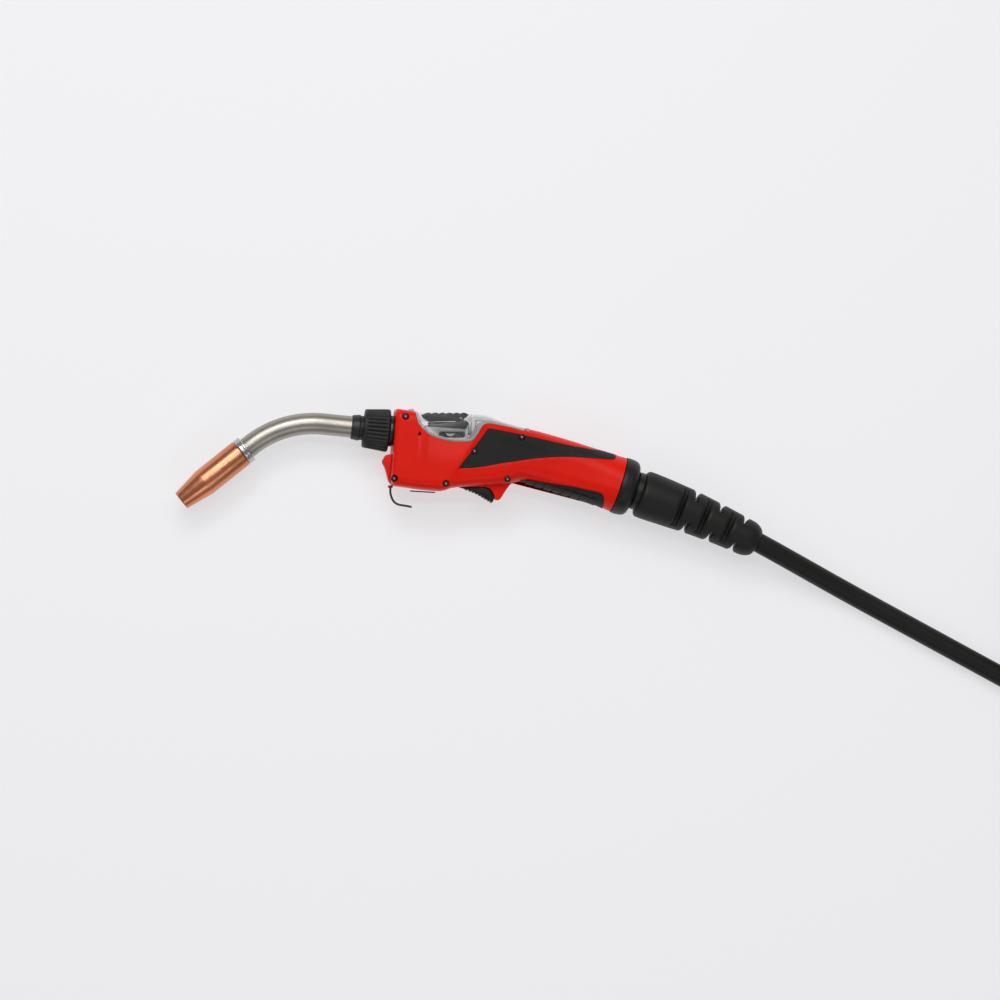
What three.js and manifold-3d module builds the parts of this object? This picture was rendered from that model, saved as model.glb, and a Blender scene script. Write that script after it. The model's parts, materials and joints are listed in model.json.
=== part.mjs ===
// MIG welding torch lying on its side, millimetres, +Z up.
// +X runs from the nozzle towards the hosepack, +Y is the side of the torch away from the trigger.
// The torch's own centre plane is parallel to the bench at Z = MID.
import * as THREE from 'three';
import { mergeVertices } from 'three/addons/utils/BufferGeometryUtils.js';
import Module from 'manifold-3d';

const wasm = await Module();
wasm.setup();

// ---------- driving dimensions ----------
const MID = 30;                 // height of the centre plane, half the housing's thickness
const GAP = 0.3;                // clearance between neighbouring pieces
const WALL = 3;                 // housing wall
const COVER_WALL = 2;           // clear cover wall
const DEG = Math.PI / 180;

const NECK_TILT = -5.8 * DEG;   // heading of the neck axis, seen along -Z
const NUT_START = [-106.7, 53.1];
const NUT_LENGTH = 25.7;
const TUBE_R = 10.75;
const TUBE_BORE_R = 8;
const BEND_R = 100;             // centreline radius of the gooseneck
const BEND_START = 39.9;        // from NUT_START, towards the nozzle
const NOZZLE_HEADING = 218.7 * DEG;
const NOZZLE_BACK = [-222.7, 32.8];
const NOZZLE_LENGTH = 83.5;
const NOZZLE_R = 14;
const NOZZLE_TIP_R = 9.7;

const REAR_TILT = -17.8 * DEG;  // heading of the grip's rear end
const REAR_END = [149, -3.3];
const REAR_R = 28.5;
const SWIVEL_AT = 8;            // ball centre behind the rear end

const HOSE_R = 10;
const HOSE_HEADING = -28.4 * DEG;
const HOSE_EXIT = [287.5, -59.5];
const HOSE_STRAIGHT = 392;      // from the relief to where the coil starts
const COIL_OUTER_R = 124;       // centreline radius of the coil's outer turns
const COIL_INNER_R = 104;
const COIL_LEVEL = 11;          // lowest centreline height in the coil, the ties pass under it
const TAIL_HEADING = 140 * DEG;
const TAIL_LENGTH = 110;
const PLUG_R = 20;

// ---------- colours ----------
const RED = 0xd81f1a;
const BLACK = 0x2b2a27;
const STEEL = 0xa9a49a;
const DARK_STEEL = 0x55534f;
const COPPER = 0xc9764c;
const BRASS = 0xb08d4a;

// ---------- small helpers ----------
const group = new THREE.Group();

function indexed(geometry) {
  const bare = geometry.clone();
  bare.deleteAttribute('normal');
  bare.deleteAttribute('uv');
  return mergeVertices(bare, 1e-4);
}

function signedVolume(geometry) {
  const p = geometry.attributes.position;
  const ids = geometry.index.array;
  const [a, b, c] = [new THREE.Vector3(), new THREE.Vector3(), new THREE.Vector3()];
  let sum = 0;
  for (let i = 0; i < ids.length; i += 3) {
    a.fromBufferAttribute(p, ids[i]);
    b.fromBufferAttribute(p, ids[i + 1]);
    c.fromBufferAttribute(p, ids[i + 2]);
    sum += a.dot(b.cross(c));
  }
  return sum;
}

function solid(geometry) {
  const merged = indexed(geometry);
  const triVerts = Uint32Array.from(merged.index.array);
  if (signedVolume(merged) < 0) {
    for (let i = 0; i < triVerts.length; i += 3) {
      [triVerts[i], triVerts[i + 1]] = [triVerts[i + 1], triVerts[i]];
    }
  }
  const vertProperties = Float32Array.from(merged.attributes.position.array);
  return new wasm.Manifold(new wasm.Mesh({ numProp: 3, vertProperties, triVerts }));
}

function add(name, shape, color, roughness = 0.5, metalness = 0) {
  const mesh = shape.getMesh();
  const geometry = new THREE.BufferGeometry();
  geometry.setAttribute('position', new THREE.BufferAttribute(mesh.vertProperties, 3));
  geometry.setIndex(new THREE.BufferAttribute(mesh.triVerts, 1));
  geometry.computeVertexNormals();
  const material = new THREE.MeshStandardMaterial({ color, roughness, metalness });
  const part = new THREE.Mesh(geometry, material);
  part.name = name;
  group.add(part);
  return part;
}

// A prism of an outline in the torch's side view, between two heights.
function prism(outline, low, high) {
  const shape = new THREE.Shape(outline.map(([x, y]) => new THREE.Vector2(x, y)));
  const geometry = new THREE.ExtrudeGeometry(shape, { depth: high - low, bevelEnabled: false });
  return solid(geometry.translate(0, 0, low));
}

// A rod along Z.
function rod([x, y], low, high, radius, sides = 12) {
  const geometry = new THREE.CylinderGeometry(radius, radius, high - low, sides);
  return solid(geometry.rotateX(Math.PI / 2).translate(x, y, (low + high) / 2));
}

function block(x0, x1, y0, y1, z0, z1) {
  const geometry = new THREE.BoxGeometry(x1 - x0, y1 - y0, z1 - z0);
  return solid(geometry.translate((x0 + x1) / 2, (y0 + y1) / 2, (z0 + z1) / 2));
}

// A turned piece: profile of [along, radius], axis in a horizontal plane with a heading.
function turned(profile, [x, y], heading, sides = 24, z = MID) {
  const points = profile.map(([along, radius]) => new THREE.Vector2(radius, along));
  points.push(points[0].clone());
  const geometry = new THREE.LatheGeometry(points, sides);
  geometry.rotateZ(heading - Math.PI / 2);
  return solid(geometry.translate(x, y, z));
}

function ahead([x, y], heading, distance) {
  return [x + distance * Math.cos(heading), y + distance * Math.sin(heading)];
}

// A closed solid through rings of points, each ring turning from +Y towards +Z.
function loft(rings) {
  const count = rings[0].length;
  const positions = [];
  const ids = [];
  for (const ring of rings) for (const p of ring) positions.push(p.x, p.y, p.z);
  for (let i = 0; i + 1 < rings.length; i++) {
    for (let j = 0; j < count; j++) {
      const k = (j + 1) % count;
      const [a, b] = [i * count + j, i * count + k];
      ids.push(a, b, b + count, a, b + count, a + count);
    }
  }
  const middle = (ring) => ring.reduce((sum, p) => sum.add(p), new THREE.Vector3()).divideScalar(count);
  const first = positions.length / 3;
  for (const ring of [rings[0], rings[rings.length - 1]]) {
    const m = middle(ring);
    positions.push(m.x, m.y, m.z);
  }
  const lastRing = (rings.length - 1) * count;
  for (let j = 0; j < count; j++) {
    const k = (j + 1) % count;
    ids.push(first, k, j, first + 1, lastRing + j, lastRing + k);
  }
  const geometry = new THREE.BufferGeometry();
  geometry.setAttribute('position', new THREE.Float32BufferAttribute(positions, 3));
  geometry.setIndex(ids);
  return solid(geometry);
}

function mirrorZ(shape) {
  return shape.mirror([0, 0, 1]).translate([0, 0, 2 * MID]);
}

// ---------- housing: stations from the front face to the rear collar ----------
// Each station has its top point, bottom point, half width and squareness.
const STATIONS = [
  [[-75.3, 70.4], [-80.2, 0.2], 26, 6],
  [[-72, 72.2], [-76, -4.4], 29.2, 7],
  [[-58, 69.6], [-58, -7.1], 30, 7],
  [[-40, 68.8], [-40, -8.9], 30, 7],
  [[-18, 68.2], [-19, -6.9], 30, 7],
  [[0, 67.8], [-2, -6], 30, 6.5],
  [[18, 64.8], [14, -5.5], 29.4, 6],
  [[38, 57.5], [34, -4.5], 27.5, 4.6],
  [[51, 53.9], [43, -0.7], 25.5, 3.6],
  [[64, 51.2], [51, -0.5], 24, 3],
  [[80, 47], [66, -4.8], 23, 2.7],
  [[100, 41.3], [84.5, -10.3], 22.8, 2.6],
  [[120, 35], [103.5, -16], 23.4, 2.5],
  [[136, 30.2], [120, -21.5], 25, 2.3],
  [[148, 26.7], [131.5, -26.5], 27, 2.1],
  [[157.7, 23.9], [140.3, -30.4], REAR_R, 2],
];
const SECTION_POINTS = 20;
const FLAT_SIDE = 1.03;         // how far a section is pressed against its flat side

function section([top, bottom, halfWidth, squareness], inset) {
  const [cx, cy] = [(top[0] + bottom[0]) / 2, (top[1] + bottom[1]) / 2];
  const [ux, uy] = [(top[0] - bottom[0]) / 2, (top[1] - bottom[1]) / 2];
  const scale = 1 - inset / Math.hypot(ux, uy);
  const bent = (v) => Math.sign(v) * Math.abs(v) ** (2 / squareness);
  const ring = [];
  for (let j = 0; j < SECTION_POINTS; j++) {
    const angle = (2 * Math.PI * (j + 0.5)) / SECTION_POINTS;
    const up = bent(Math.cos(angle)) * scale;
    const side = THREE.MathUtils.clamp(FLAT_SIDE * bent(Math.sin(angle)), -1, 1);
    ring.push(new THREE.Vector3(cx + ux * up, cy + uy * up, MID + side * (halfWidth - inset)));
  }
  return ring;
}

function housingSolid(inset, endInset = inset) {
  const rings = STATIONS.map((station) => section(station, inset));
  const shift = (ring, dx, dy) => ring.map((p) => p.clone().add(new THREE.Vector3(dx, dy, 0)));
  const last = rings.length - 1;
  rings[0] = shift(rings[0], endInset, 0);
  rings[last] = shift(rings[last], -endInset * Math.cos(REAR_TILT), -endInset * Math.sin(REAR_TILT));
  return loft(rings);
}

const outer = housingSolid(0);
const cavity = housingSolid(WALL);

// Outline of the bay that the clear cover closes, run round clockwise from the hinge.
const COVER_RIM = [
  [53.3, 80], [53.3, 49.7], [43.5, 52.7], [30.1, 55.2], [16.8, 57.3], [12.7, 56.8], [9.6, 53.7], [6, 47.5],
  [0.4, 40.9], [-2.7, 39.3], [-7.8, 39.1], [-20.1, 39.6], [-29.4, 41.4], [-37.6, 43.9], [-43.7, 47],
  [-48.8, 51.6], [-53, 56.8], [-56, 63.9], [-56, 80],
];
const GRIP_OUTLINE = [
  [-14.4, 12.9], [-0.8, 30.1], [15.3, 52.2], [30, 50.4], [50.5, 46.5], [79.2, 40.3], [99.7, 35.7],
  [118.2, 32.7], [132.6, 30.6], [145.3, 26.5], [144, 21.9], [132.6, 22.4], [110, 23.9], [91.5, 24.5],
  [76.2, 23.9], [60.8, 22.4], [45.4, 20.3], [30, 18], [12.7, 14.7],
];
const LOWER_GRIP_OUTLINE = [
  [49.5, 1.4], [60.8, 0.9], [71, -0.7], [87.4, -3.2], [101.8, -5.3], [118.2, -8.9], [128.5, -11.4],
  [131.5, -14.5], [132.6, -18.6], [132.6, -45], [49.5, -45],
];
// The housing's lower edge comes down either side of the trigger and ends in a fin behind it.
const GUARD_OUTLINE = [
  [-11.2, -5.4], [14, -5.3], [18.6, -7], [22, -11.2], [24, -16.3], [26, -18.6], [28.1, -18.3], [29.6, -16.6],
  [36.3, -6.8], [41, -1.8], [40, 3], [-11.2, 3],
];
const GUARD_HALF = 13;
const SLOT_OUTLINE = [[-11.5, -30], [25, -30], [25, 12], [-11.5, 12]];
const TRIGGER_OUTLINE = [
  [-10.5, -6], [-10.2, 0], [-0.5, 0.2], [7, -2.6], [19, -4], [22.6, -9], [23.3, -15], [23, -18.1], [21.9, -20.7],
  [20.9, -20.7], [14.7, -17.1], [7.6, -13], [-0.6, -9.4], [-7.8, -6.8],
];
const TRIGGER_HALF = 8.5;
const TRIGGER_PIVOT = [-5.5, -3.4];
const HINGE = [56.5, 50.7];
const HINGE_HALF = 12;
const HINGE_R = 2.6;
const LEVER_PIVOT = [-10, 63.2];
const ARM_PIVOT = [-7, 56];
const DRIVE_AXIS = [-20, 38.1];
const PRESSURE_AXIS = [-20, 51.1];
const ROLL_R = 6.2;

// Moves every corner of an outline along its two edges' normals; positive grows a counter-clockwise one.
function offset(outline, distance) {
  const area = outline.reduce((sum, [x, y], i) => {
    const [u, v] = outline[(i + 1) % outline.length];
    return sum + x * v - u * y;
  }, 0);
  const sense = Math.sign(area) * distance;
  return outline.map(([x, y], i) => {
    const [px, py] = outline[(i + outline.length - 1) % outline.length];
    const [nx, ny] = outline[(i + 1) % outline.length];
    const before = new THREE.Vector2(y - py, px - x).normalize();
    const after = new THREE.Vector2(ny - y, x - nx).normalize();
    const mid = before.clone().add(after).normalize();
    const reach = sense / Math.max(0.5, mid.dot(before));
    return [x + mid.x * reach, y + mid.y * reach];
  });
}

const fullPrism = (outline, grow) => prism(offset(outline, grow), MID - 60, MID + 60);
const skin = outer.subtract(cavity);
const HALF_GAP = GAP / 2;

// ---------- recessed screws: place on the side view ----------
const SCREWS = [[-66.2, 64.3], [-77.6, 2.8], [-26.2, -2.2], [2.2, 30], [49.8, 44.1], [35.4, 2.2]];
const SCREW_HEAD_R = 3.2;
const SCREW_RECESS = 1.7;

const outerMesh = new THREE.Mesh(add('probe', outer, RED).geometry);
group.clear();
function topOf([x, y]) {
  const ray = new THREE.Raycaster(new THREE.Vector3(x, y, 200), new THREE.Vector3(0, 0, -1));
  return ray.intersectObject(outerMesh)[0].point.z;
}

// ---------- shells and grips ----------
const bodyOuter = outer.add(prism(GUARD_OUTLINE, MID - GUARD_HALF, MID + GUARD_HALF));
let housing = bodyOuter.subtract(cavity)
  .subtract(fullPrism(COVER_RIM, 0))
  .subtract(rod(HINGE, MID - HINGE_HALF - GAP, MID + HINGE_HALF + GAP, HINGE_R + 0.6, 20))
  .subtract(block(50, HINGE[0], 50, 60, MID - HINGE_HALF - GAP, MID + HINGE_HALF + GAP))
  .subtract(rod(HINGE, MID - HINGE_HALF - 8, MID + HINGE_HALF + 8, 1.5))
  .subtract(prism(SLOT_OUTLINE, MID - TRIGGER_HALF - 0.8, MID + TRIGGER_HALF + 0.8))
  .subtract(rod(TRIGGER_PIVOT, MID - 14, MID + 14, 1.8))
  .subtract(turned([[0, 0], [0, 14.2], [40, 14.2], [40, 0]], ahead(NUT_START, NECK_TILT, 20), NECK_TILT))
  .subtract(turned([[-8, 0], [-8, 16.5], [6, 16.5], [6, 0]], REAR_END, REAR_TILT))
  .subtract(fullPrism(LOWER_GRIP_OUTLINE, 0));
const gripZone = fullPrism(GRIP_OUTLINE, 0);
housing = housing.subtract(gripZone);

const upperHalf = block(-120, 200, -80, 120, MID + HALF_GAP, MID + 60);
let leftShell = housing.intersect(upperHalf);
const rightShell = housing.intersect(block(-120, 200, -80, 120, MID - 60, MID - HALF_GAP));

let gripPanel = skin.intersect(fullPrism(GRIP_OUTLINE, -GAP)).intersect(block(-120, 200, -80, 120, MID + 8, 99));
const rightGripPanel = mirrorZ(gripPanel);
SCREWS.forEach((place, i) => {
  const top = topOf(place);
  const recess = rod(place, top - SCREW_RECESS, top + 8, SCREW_HEAD_R + GAP, 16);
  const shank = rod(place, top - 12, top + 1, 1.5);
  leftShell = leftShell.subtract(recess).subtract(shank);
  gripPanel = gripPanel.subtract(recess).subtract(shank);
  const head = rod(place, top - SCREW_RECESS + 0.2, top - 0.3, SCREW_HEAD_R, 16);
  add(`shell_screw_${i + 1}`, head.add(rod(place, top - 8, top - 1, 1.2)), DARK_STEEL, 0.4, 0.9);
});
add('left_shell', leftShell, RED, 0.35);
add('right_shell', rightShell, RED, 0.35);
add('left_grip_panel', gripPanel, BLACK, 0.8);
add('right_grip_panel', rightGripPanel, BLACK, 0.8);
add('lower_grip', skin.intersect(fullPrism(LOWER_GRIP_OUTLINE, -GAP)), BLACK, 0.8);

// ---------- clear cover over the drive ----------
const coverZone = fullPrism(COVER_RIM, -0.4);
const knuckle = rod(HINGE, MID - HINGE_HALF, MID + HINGE_HALF, HINGE_R, 16);
const tongue = block(50, 56.5, 50.3, 52.9, MID - HINGE_HALF, MID + HINGE_HALF);
const coverShell = outer.subtract(housingSolid(COVER_WALL)).intersect(coverZone);
const cover = coverShell.add(knuckle).add(tongue)
  .subtract(rod(HINGE, MID - 20, MID + 20, 1.5))
  .subtract(block(-50.5, 1, 60, 80, MID - 11, MID + 11));
add('clear_cover', cover, 0xc9cfca, 0.1);
add('cover_hinge_pin', rod(HINGE, MID - HINGE_HALF - 6, MID + HINGE_HALF + 6, 1.2), STEEL, 0.3, 1);

// ---------- wire drive ----------
const DRIVE_HALF = 14;
const POCKET_HALF = 7.6;
const driveBlock = block(-45, -3, 29.5, 55.5, MID - DRIVE_HALF, MID + DRIVE_HALF)
  .subtract(block(-34, -2, 20, 60, MID - POCKET_HALF, MID + POCKET_HALF))
  .subtract(block(-32.4, -5.8, 43.4, 49.6, MID, MID + 20))
  .subtract(rod(DRIVE_AXIS, MID - 20, MID + 20, 2.3))
  .subtract(rod(ARM_PIVOT, MID - 20, MID + 20, 1.6))
  .subtract(turned([[-20, 0], [-20, 3.4], [14, 3.4], [14, 0]], [-45, 46.8], NECK_TILT, 12));
add('drive_block', driveBlock, 0x8d8f8c, 0.4, 0.9);
// An angle bracket on the drive block's far side carries the lever's pin.
const BRACKET_OUTLINE = [[-13.5, 55.9], [-3.5, 55.9], [-3.5, 59], [-6, 65.8], [-14, 65.8]];
const bracket = prism(BRACKET_OUTLINE, MID - 13, MID - 10.6)
  .add(block(-13.5, -3.5, 55.9, 57, MID - 16.8, MID - 12))
  .add(block(-13.5, -3.5, 48, 57, MID - 16.8, MID - DRIVE_HALF - GAP))
  .subtract(rod(LEVER_PIVOT, 0, 60, 1.5))
  .subtract(rod(ARM_PIVOT, 0, 60, 1.5));
add('lever_bracket', bracket, STEEL, 0.3, 1);
add('lever_pin', rod(LEVER_PIVOT, MID - 13, MID + 9.6, 1.2), STEEL, 0.3, 1);
add('arm_pin', rod(ARM_PIVOT, MID - 16, MID + 7, 1.2), STEEL, 0.3, 1);

const rollShape = (place, bore) => rod(place, MID - 5, MID + 5, ROLL_R, 20).subtract(rod(place, 0, 60, bore));
add('drive_roll', rollShape(DRIVE_AXIS, 2.3), STEEL, 0.3, 1);
add('drive_axle', rod(DRIVE_AXIS, MID - 13.5, MID + 13.5, 2), STEEL, 0.3, 1);
add('pressure_roll', rollShape(PRESSURE_AXIS, 1.8), STEEL, 0.3, 1);
add('pressure_axle', rod(PRESSURE_AXIS, MID - 5.2, MID + 5.2, 1.5), STEEL, 0.3, 1);
const armCheek = [[-26, 59.5], [-8.3, 59.5], [-5.2, 57.5], [-5.2, 53.5], [-13, 48.6], [-24, 48.6], [-26, 52]];
const arm = prism(armCheek, MID - 7, MID + 7)
  .subtract(block(-40, 0, 40, 58.1, MID - 5.5, MID + 5.5))
  .add(block(-42, -20, 58.1, 59.5, MID - 7, MID + 7))
  .subtract(rod(ARM_PIVOT, 0, 60, 1.5));
add('pressure_arm', arm, DARK_STEEL, 0.4, 0.9);
const LEVER_OUTLINE = [[-48.3, 67.8], [-46.5, 68.2], [-3.6, 68], [-2.2, 66.8], [-9.5, 60.5], [-41.7, 60]];
add('tension_lever', prism(LEVER_OUTLINE, MID - 10, MID + 10).subtract(rod(LEVER_PIVOT, 0, 60, 1.5)), BLACK, 0.7);

// ---------- motor and gearbox in the grip ----------
const MOTOR_START = [76, 20.5];
const motorProfile = [[0, 0], [0, 15], [50, 15], [50, 5], [54, 5], [54, 0]];
add('drive_motor', turned(motorProfile, MOTOR_START, REAR_TILT, 20), DARK_STEEL, 0.4, 0.8);
add('gearbox', block(44, 72, 10, 36, MID - 14, MID + 14), 0x77797a, 0.5, 0.8);

// ---------- trigger group ----------
const pinHole = rod(TRIGGER_PIVOT, 0, 60, 1.8);
add('trigger', prism(TRIGGER_OUTLINE, MID - TRIGGER_HALF, MID + TRIGGER_HALF).subtract(pinHole), BLACK, 0.7);
add('trigger_pin', rod(TRIGGER_PIVOT, MID - 13.5, MID + 13.5, 1.5), STEEL, 0.3, 1);
const plunger = rod([0, 0], 0, 4, 1.6).rotate([90, 0, 0]).translate([6, 10, MID]);
const switchBody = block(-2, 20, 9, 18, MID - 5, MID + 5).add(plunger);
add('micro_switch', switchBody, BLACK, 0.5);
class Helix extends THREE.Curve {
  getPoint(t, target = new THREE.Vector3()) {
    const angle = 2 * Math.PI * 4 * t;
    return target.set(16 + 2.4 * Math.cos(angle), -2.3 + 10.4 * t, MID + 2.4 * Math.sin(angle));
  }
}
const wireSection = new THREE.Shape().absarc(0, 0, 0.4, 0, 2 * Math.PI);
const spring = new THREE.ExtrudeGeometry(wireSection, {
  steps: 28, curveSegments: 2, bevelEnabled: false, extrudePath: new Helix(),
});
add('trigger_spring', solid(spring), STEEL, 0.3, 1);

// ---------- front boss, hook and plate ----------
const BOSS_OUTLINE = [
  [-79, 27.5], [-84.7, 26], [-86.8, 22.9], [-87.3, 18.8], [-85.8, 14.7], [-83.7, 7.5], [-82.2, 1.4],
  [-80.6, -1.6], [-72, -1.6], [-72, 27.5],
];
const boss = prism(BOSS_OUTLINE, MID - 9, MID + 9).subtract(outer.translate([-GAP, 0, 0]))
  .subtract(turned([[0, 0], [0, 3.5], [10, 3.5], [10, 0]], [-90, 19.4], 0, 16));
add('lamp_boss', boss, RED, 0.35);
const lensProfile = [[0, 0], [0, 2], [1.2, 3.2], [7, 3.2], [7, 0]];
add('lamp_lens', turned(lensProfile, [-88, 19.4], 0, 16), 0x30302e, 0.2);
add('base_plate', prism([[-60, -8.9], [-35.6, -10.4], [-35.7, -11.6], [-60.1, -10.1]], MID - 10, MID + 10),
  DARK_STEEL, 0.4, 0.9);
const HOOK_AXIS_X = -79.8;
const bushProfile = [[-6.4, 1.45], [-6.4, 2.4], [-3.9, 2.4], [-3.9, 1.45]];
add('hook_bush', turned(bushProfile, [HOOK_AXIS_X, 0], Math.PI / 2, 16), 0x6b1714, 0.4);
const hookPath = new THREE.CatmullRomCurve3([
  [HOOK_AXIS_X, -4.2], [HOOK_AXIS_X, -8], [HOOK_AXIS_X + 0.2, -12.5], [-77.4, -18.5], [-74, -22], [-70, -23.4],
  [-64, -24.4], [-58.5, -25.5],
].map(([x, y]) => new THREE.Vector3(x, y, MID)));
const hookSection = new THREE.Shape().absarc(0, 0, 1.1, 0, 2 * Math.PI);
const hook = new THREE.ExtrudeGeometry(hookSection, {
  steps: 16, curveSegments: 4, bevelEnabled: false, extrudePath: hookPath,
});
add('hanger_hook', solid(hook), STEEL, 0.3, 1);

// ---------- neck: socket, nut, sleeve, gooseneck ----------
const socketProfile = [
  [26.1, 11.05], [26.1, 15.5], [29.4, 15.5], [29.4, 13.8], [48, 13.8], [48, 11.05],
];
add('neck_socket', turned(socketProfile, NUT_START, NECK_TILT), DARK_STEEL, 0.35, 0.9);
const nutProfile = [
  [0, 12.6], [0, 18.6], [1.5, 19.4], [NUT_LENGTH - 3, 21.4], [NUT_LENGTH, 20.2], [NUT_LENGTH, 11.2],
  [6, 11.2], [6, 12.6],
];
add('union_nut', turned(nutProfile, NUT_START, NECK_TILT, 32), BLACK, 0.6);
const sleeveProfile = [
  [-12.2, 10.95], [-12.2, 11.6], [-3.6, 13.1], [-3.6, 12.2], [5.2, 12.2], [5.2, 10.95],
];
add('neck_sleeve', turned(sleeveProfile, NUT_START, NECK_TILT), BLACK, 0.5);

const neckLine = [];
const BEND_STEPS = 10;
const bendFrom = ahead(NUT_START, NECK_TILT, -BEND_START);
const startHeading = NECK_TILT + Math.PI;
const bendCentre = ahead(bendFrom, startHeading + Math.PI / 2, BEND_R);
neckLine.push(ahead(NUT_START, NECK_TILT, 40), ahead(NUT_START, NECK_TILT, 20), NUT_START);
neckLine.push(ahead(NUT_START, NECK_TILT, -20));
for (let i = 0; i <= BEND_STEPS; i++) {
  const heading = startHeading + ((NOZZLE_HEADING - startHeading) * i) / BEND_STEPS;
  neckLine.push(ahead(bendCentre, heading - Math.PI / 2, BEND_R));
}
neckLine.push(ahead(NOZZLE_BACK, NOZZLE_HEADING, 6));
const neckPath = new THREE.CatmullRomCurve3(neckLine.map(([x, y]) => new THREE.Vector3(x, y, MID)));
function tube(path, radius, bore, steps, curveSegments) {
  const shape = new THREE.Shape().absarc(0, 0, radius, 0, 2 * Math.PI);
  if (bore > 0) shape.holes.push(new THREE.Path().absarc(0, 0, bore, 0, 2 * Math.PI, true));
  const options = { steps, curveSegments, bevelEnabled: false, extrudePath: path };
  return solid(new THREE.ExtrudeGeometry(shape, options));
}
add('gooseneck', tube(neckPath, TUBE_R, TUBE_BORE_R, 14, 8), STEEL, 0.3, 1);
add('wire_liner', tube(neckPath, 2.4, 1, 14, 3), DARK_STEEL, 0.6, 0.5);

// ---------- nozzle end ----------
const nozzleTurned = (profile, sides = 24) => turned(profile, NOZZLE_BACK, NOZZLE_HEADING, sides);
add('nozzle_ring', nozzleTurned([[0, 11], [0, 13.4], [0.8, 14.1], [6.7, 14.1], [6.7, 11]]), STEEL, 0.2, 1);
const nozzleProfile = [
  [7, 12.2], [7, NOZZLE_R], [54.5, NOZZLE_R], [NOZZLE_LENGTH, NOZZLE_TIP_R], [NOZZLE_LENGTH, 8.2], [55.5, 12.2],
];
add('gas_nozzle', nozzleTurned(nozzleProfile, 28), COPPER, 0.25, 1);
add('nozzle_insulator', nozzleTurned([[9, 9.3], [9, 11.9], [22, 11.9], [22, 9.3]], 20), 0x3a2a20, 0.6);
add('tip_holder', nozzleTurned([[6.3, 2.7], [6.3, 7.6], [8, 9], [40, 9], [46, 6.5], [46, 2.7]], 20), BRASS, 0.3, 1);
add('contact_tip', nozzleTurned([[46.3, 1], [46.3, 4.2], [76, 4.2], [80, 3], [80, 1]], 16), COPPER, 0.3, 1);

// ---------- rear end: collar, swivel and bend relief ----------
const rearTurned = (profile, sides = 28) => turned(profile, REAR_END, REAR_TILT, sides);
const collarProfile = [
  [0.3, 18], [0.3, REAR_R], [4, 28.9], [9, 28.3], [13.2, 26.6], [13.2, 18],
];
add('rear_collar', rearTurned(collarProfile), BLACK, 0.6);
const ballProfile = [
  [1, 9], [1, 16], [4.5, 17.2], [SWIVEL_AT, 17.5], [11.5, 17.2], [15.5, 15.5], [17.6, 15.5], [17.6, 19], [23.6, 19],
  [23.6, 9],
];
add('swivel_ball', rearTurned(ballProfile), BLACK, 0.5);
const BOOT_LINE = [
  [[171.8, -11.9], -20, 22.6], [[174.2, -12.8], -20, 24], [[196, -20.6], -20.5, 23.4], [[217.2, -28.7], -22, 22],
  [[240, -38.4], -24, 20.2], [[264, -49.3], -26, 18], [[281, -57.7], -27, 16], [[287.2, -60.8], -27.5, 14.5],
];
const BOOT_SIDES = 20;
const bootRings = BOOT_LINE.map(([[x, y], heading, radius]) => {
  const [nx, ny] = [-Math.sin(heading * DEG), Math.cos(heading * DEG)];
  return Array.from({ length: BOOT_SIDES }, (_, j) => {
    const angle = (2 * Math.PI * j) / BOOT_SIDES;
    const out = radius * Math.cos(angle);
    return new THREE.Vector3(x + nx * out, y + ny * out, MID + radius * Math.sin(angle));
  });
});
add('bend_relief', loft(bootRings), BLACK, 0.6);

// ---------- hosepack: run on the bench, coil, tail ----------
const exitStart = ahead(HOSE_EXIT, HOSE_HEADING, 1.2);
const coilStart = ahead(HOSE_EXIT, HOSE_HEADING, HOSE_STRAIGHT);
const coilCentre = ahead(coilStart, HOSE_HEADING + Math.PI / 2, COIL_OUTER_R);
const RUN_HEIGHTS = [
  [0, 30], [18, 29.2], [36, 26.6], [54, 22.8], [72, 18.6], [90, 14.8], [110, 11.8], [132, 10.3], [160, 10],
  [200, 10], [240, 10], [280, 10.1], [320, 10.6], [350, 11],
];
const runPath = new THREE.CatmullRomCurve3(RUN_HEIGHTS.map(([along, height]) => {
  const [x, y] = ahead(exitStart, HOSE_HEADING, along);
  return new THREE.Vector3(x, y, height);
}));
const RING_HALF = 20;           // half the coil's radial width: two turns side by side
const ringMiddle = (COIL_OUTER_R + COIL_INNER_R) / 2;
function coilRing(grow) {
  const [inner, rim] = [ringMiddle - RING_HALF - grow, ringMiddle + RING_HALF + grow];
  const [low, high] = [COIL_LEVEL - HOSE_R - grow, COIL_LEVEL + 3 * HOSE_R + grow];
  const profile = [[rim, low], [rim, high], [inner, high], [inner, low]];
  const points = profile.map(([r, z]) => new THREE.Vector2(r, z));
  points.push(points[0].clone());
  const geometry = new THREE.LatheGeometry(points, 32).rotateX(Math.PI / 2);
  return solid(geometry.translate(coilCentre[0], coilCentre[1], 0));
}
add('hose_coil', coilRing(0), BLACK, 0.6);
const grownRing = coilRing(GAP);
add('hose_run', tube(runPath, HOSE_R, 0, 20, 5).subtract(grownRing), BLACK, 0.6);

const tailStart = ahead(coilCentre, TAIL_HEADING - Math.PI / 2, COIL_OUTER_R);
const TAIL_HEIGHTS = [[40, 30.5], [50, 29.5], [62, 27], [76, 24], [90, 21.5], [100, 20.4], [TAIL_LENGTH - 1, 20.2]];
const tailPath = new THREE.CatmullRomCurve3(TAIL_HEIGHTS.map(([along, height]) => {
  const [x, y] = ahead(tailStart, TAIL_HEADING, along);
  return new THREE.Vector3(x, y, height);
}));
add('hose_tail', tube(tailPath, HOSE_R, 0, 6, 5).subtract(grownRing), BLACK, 0.6);

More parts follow.
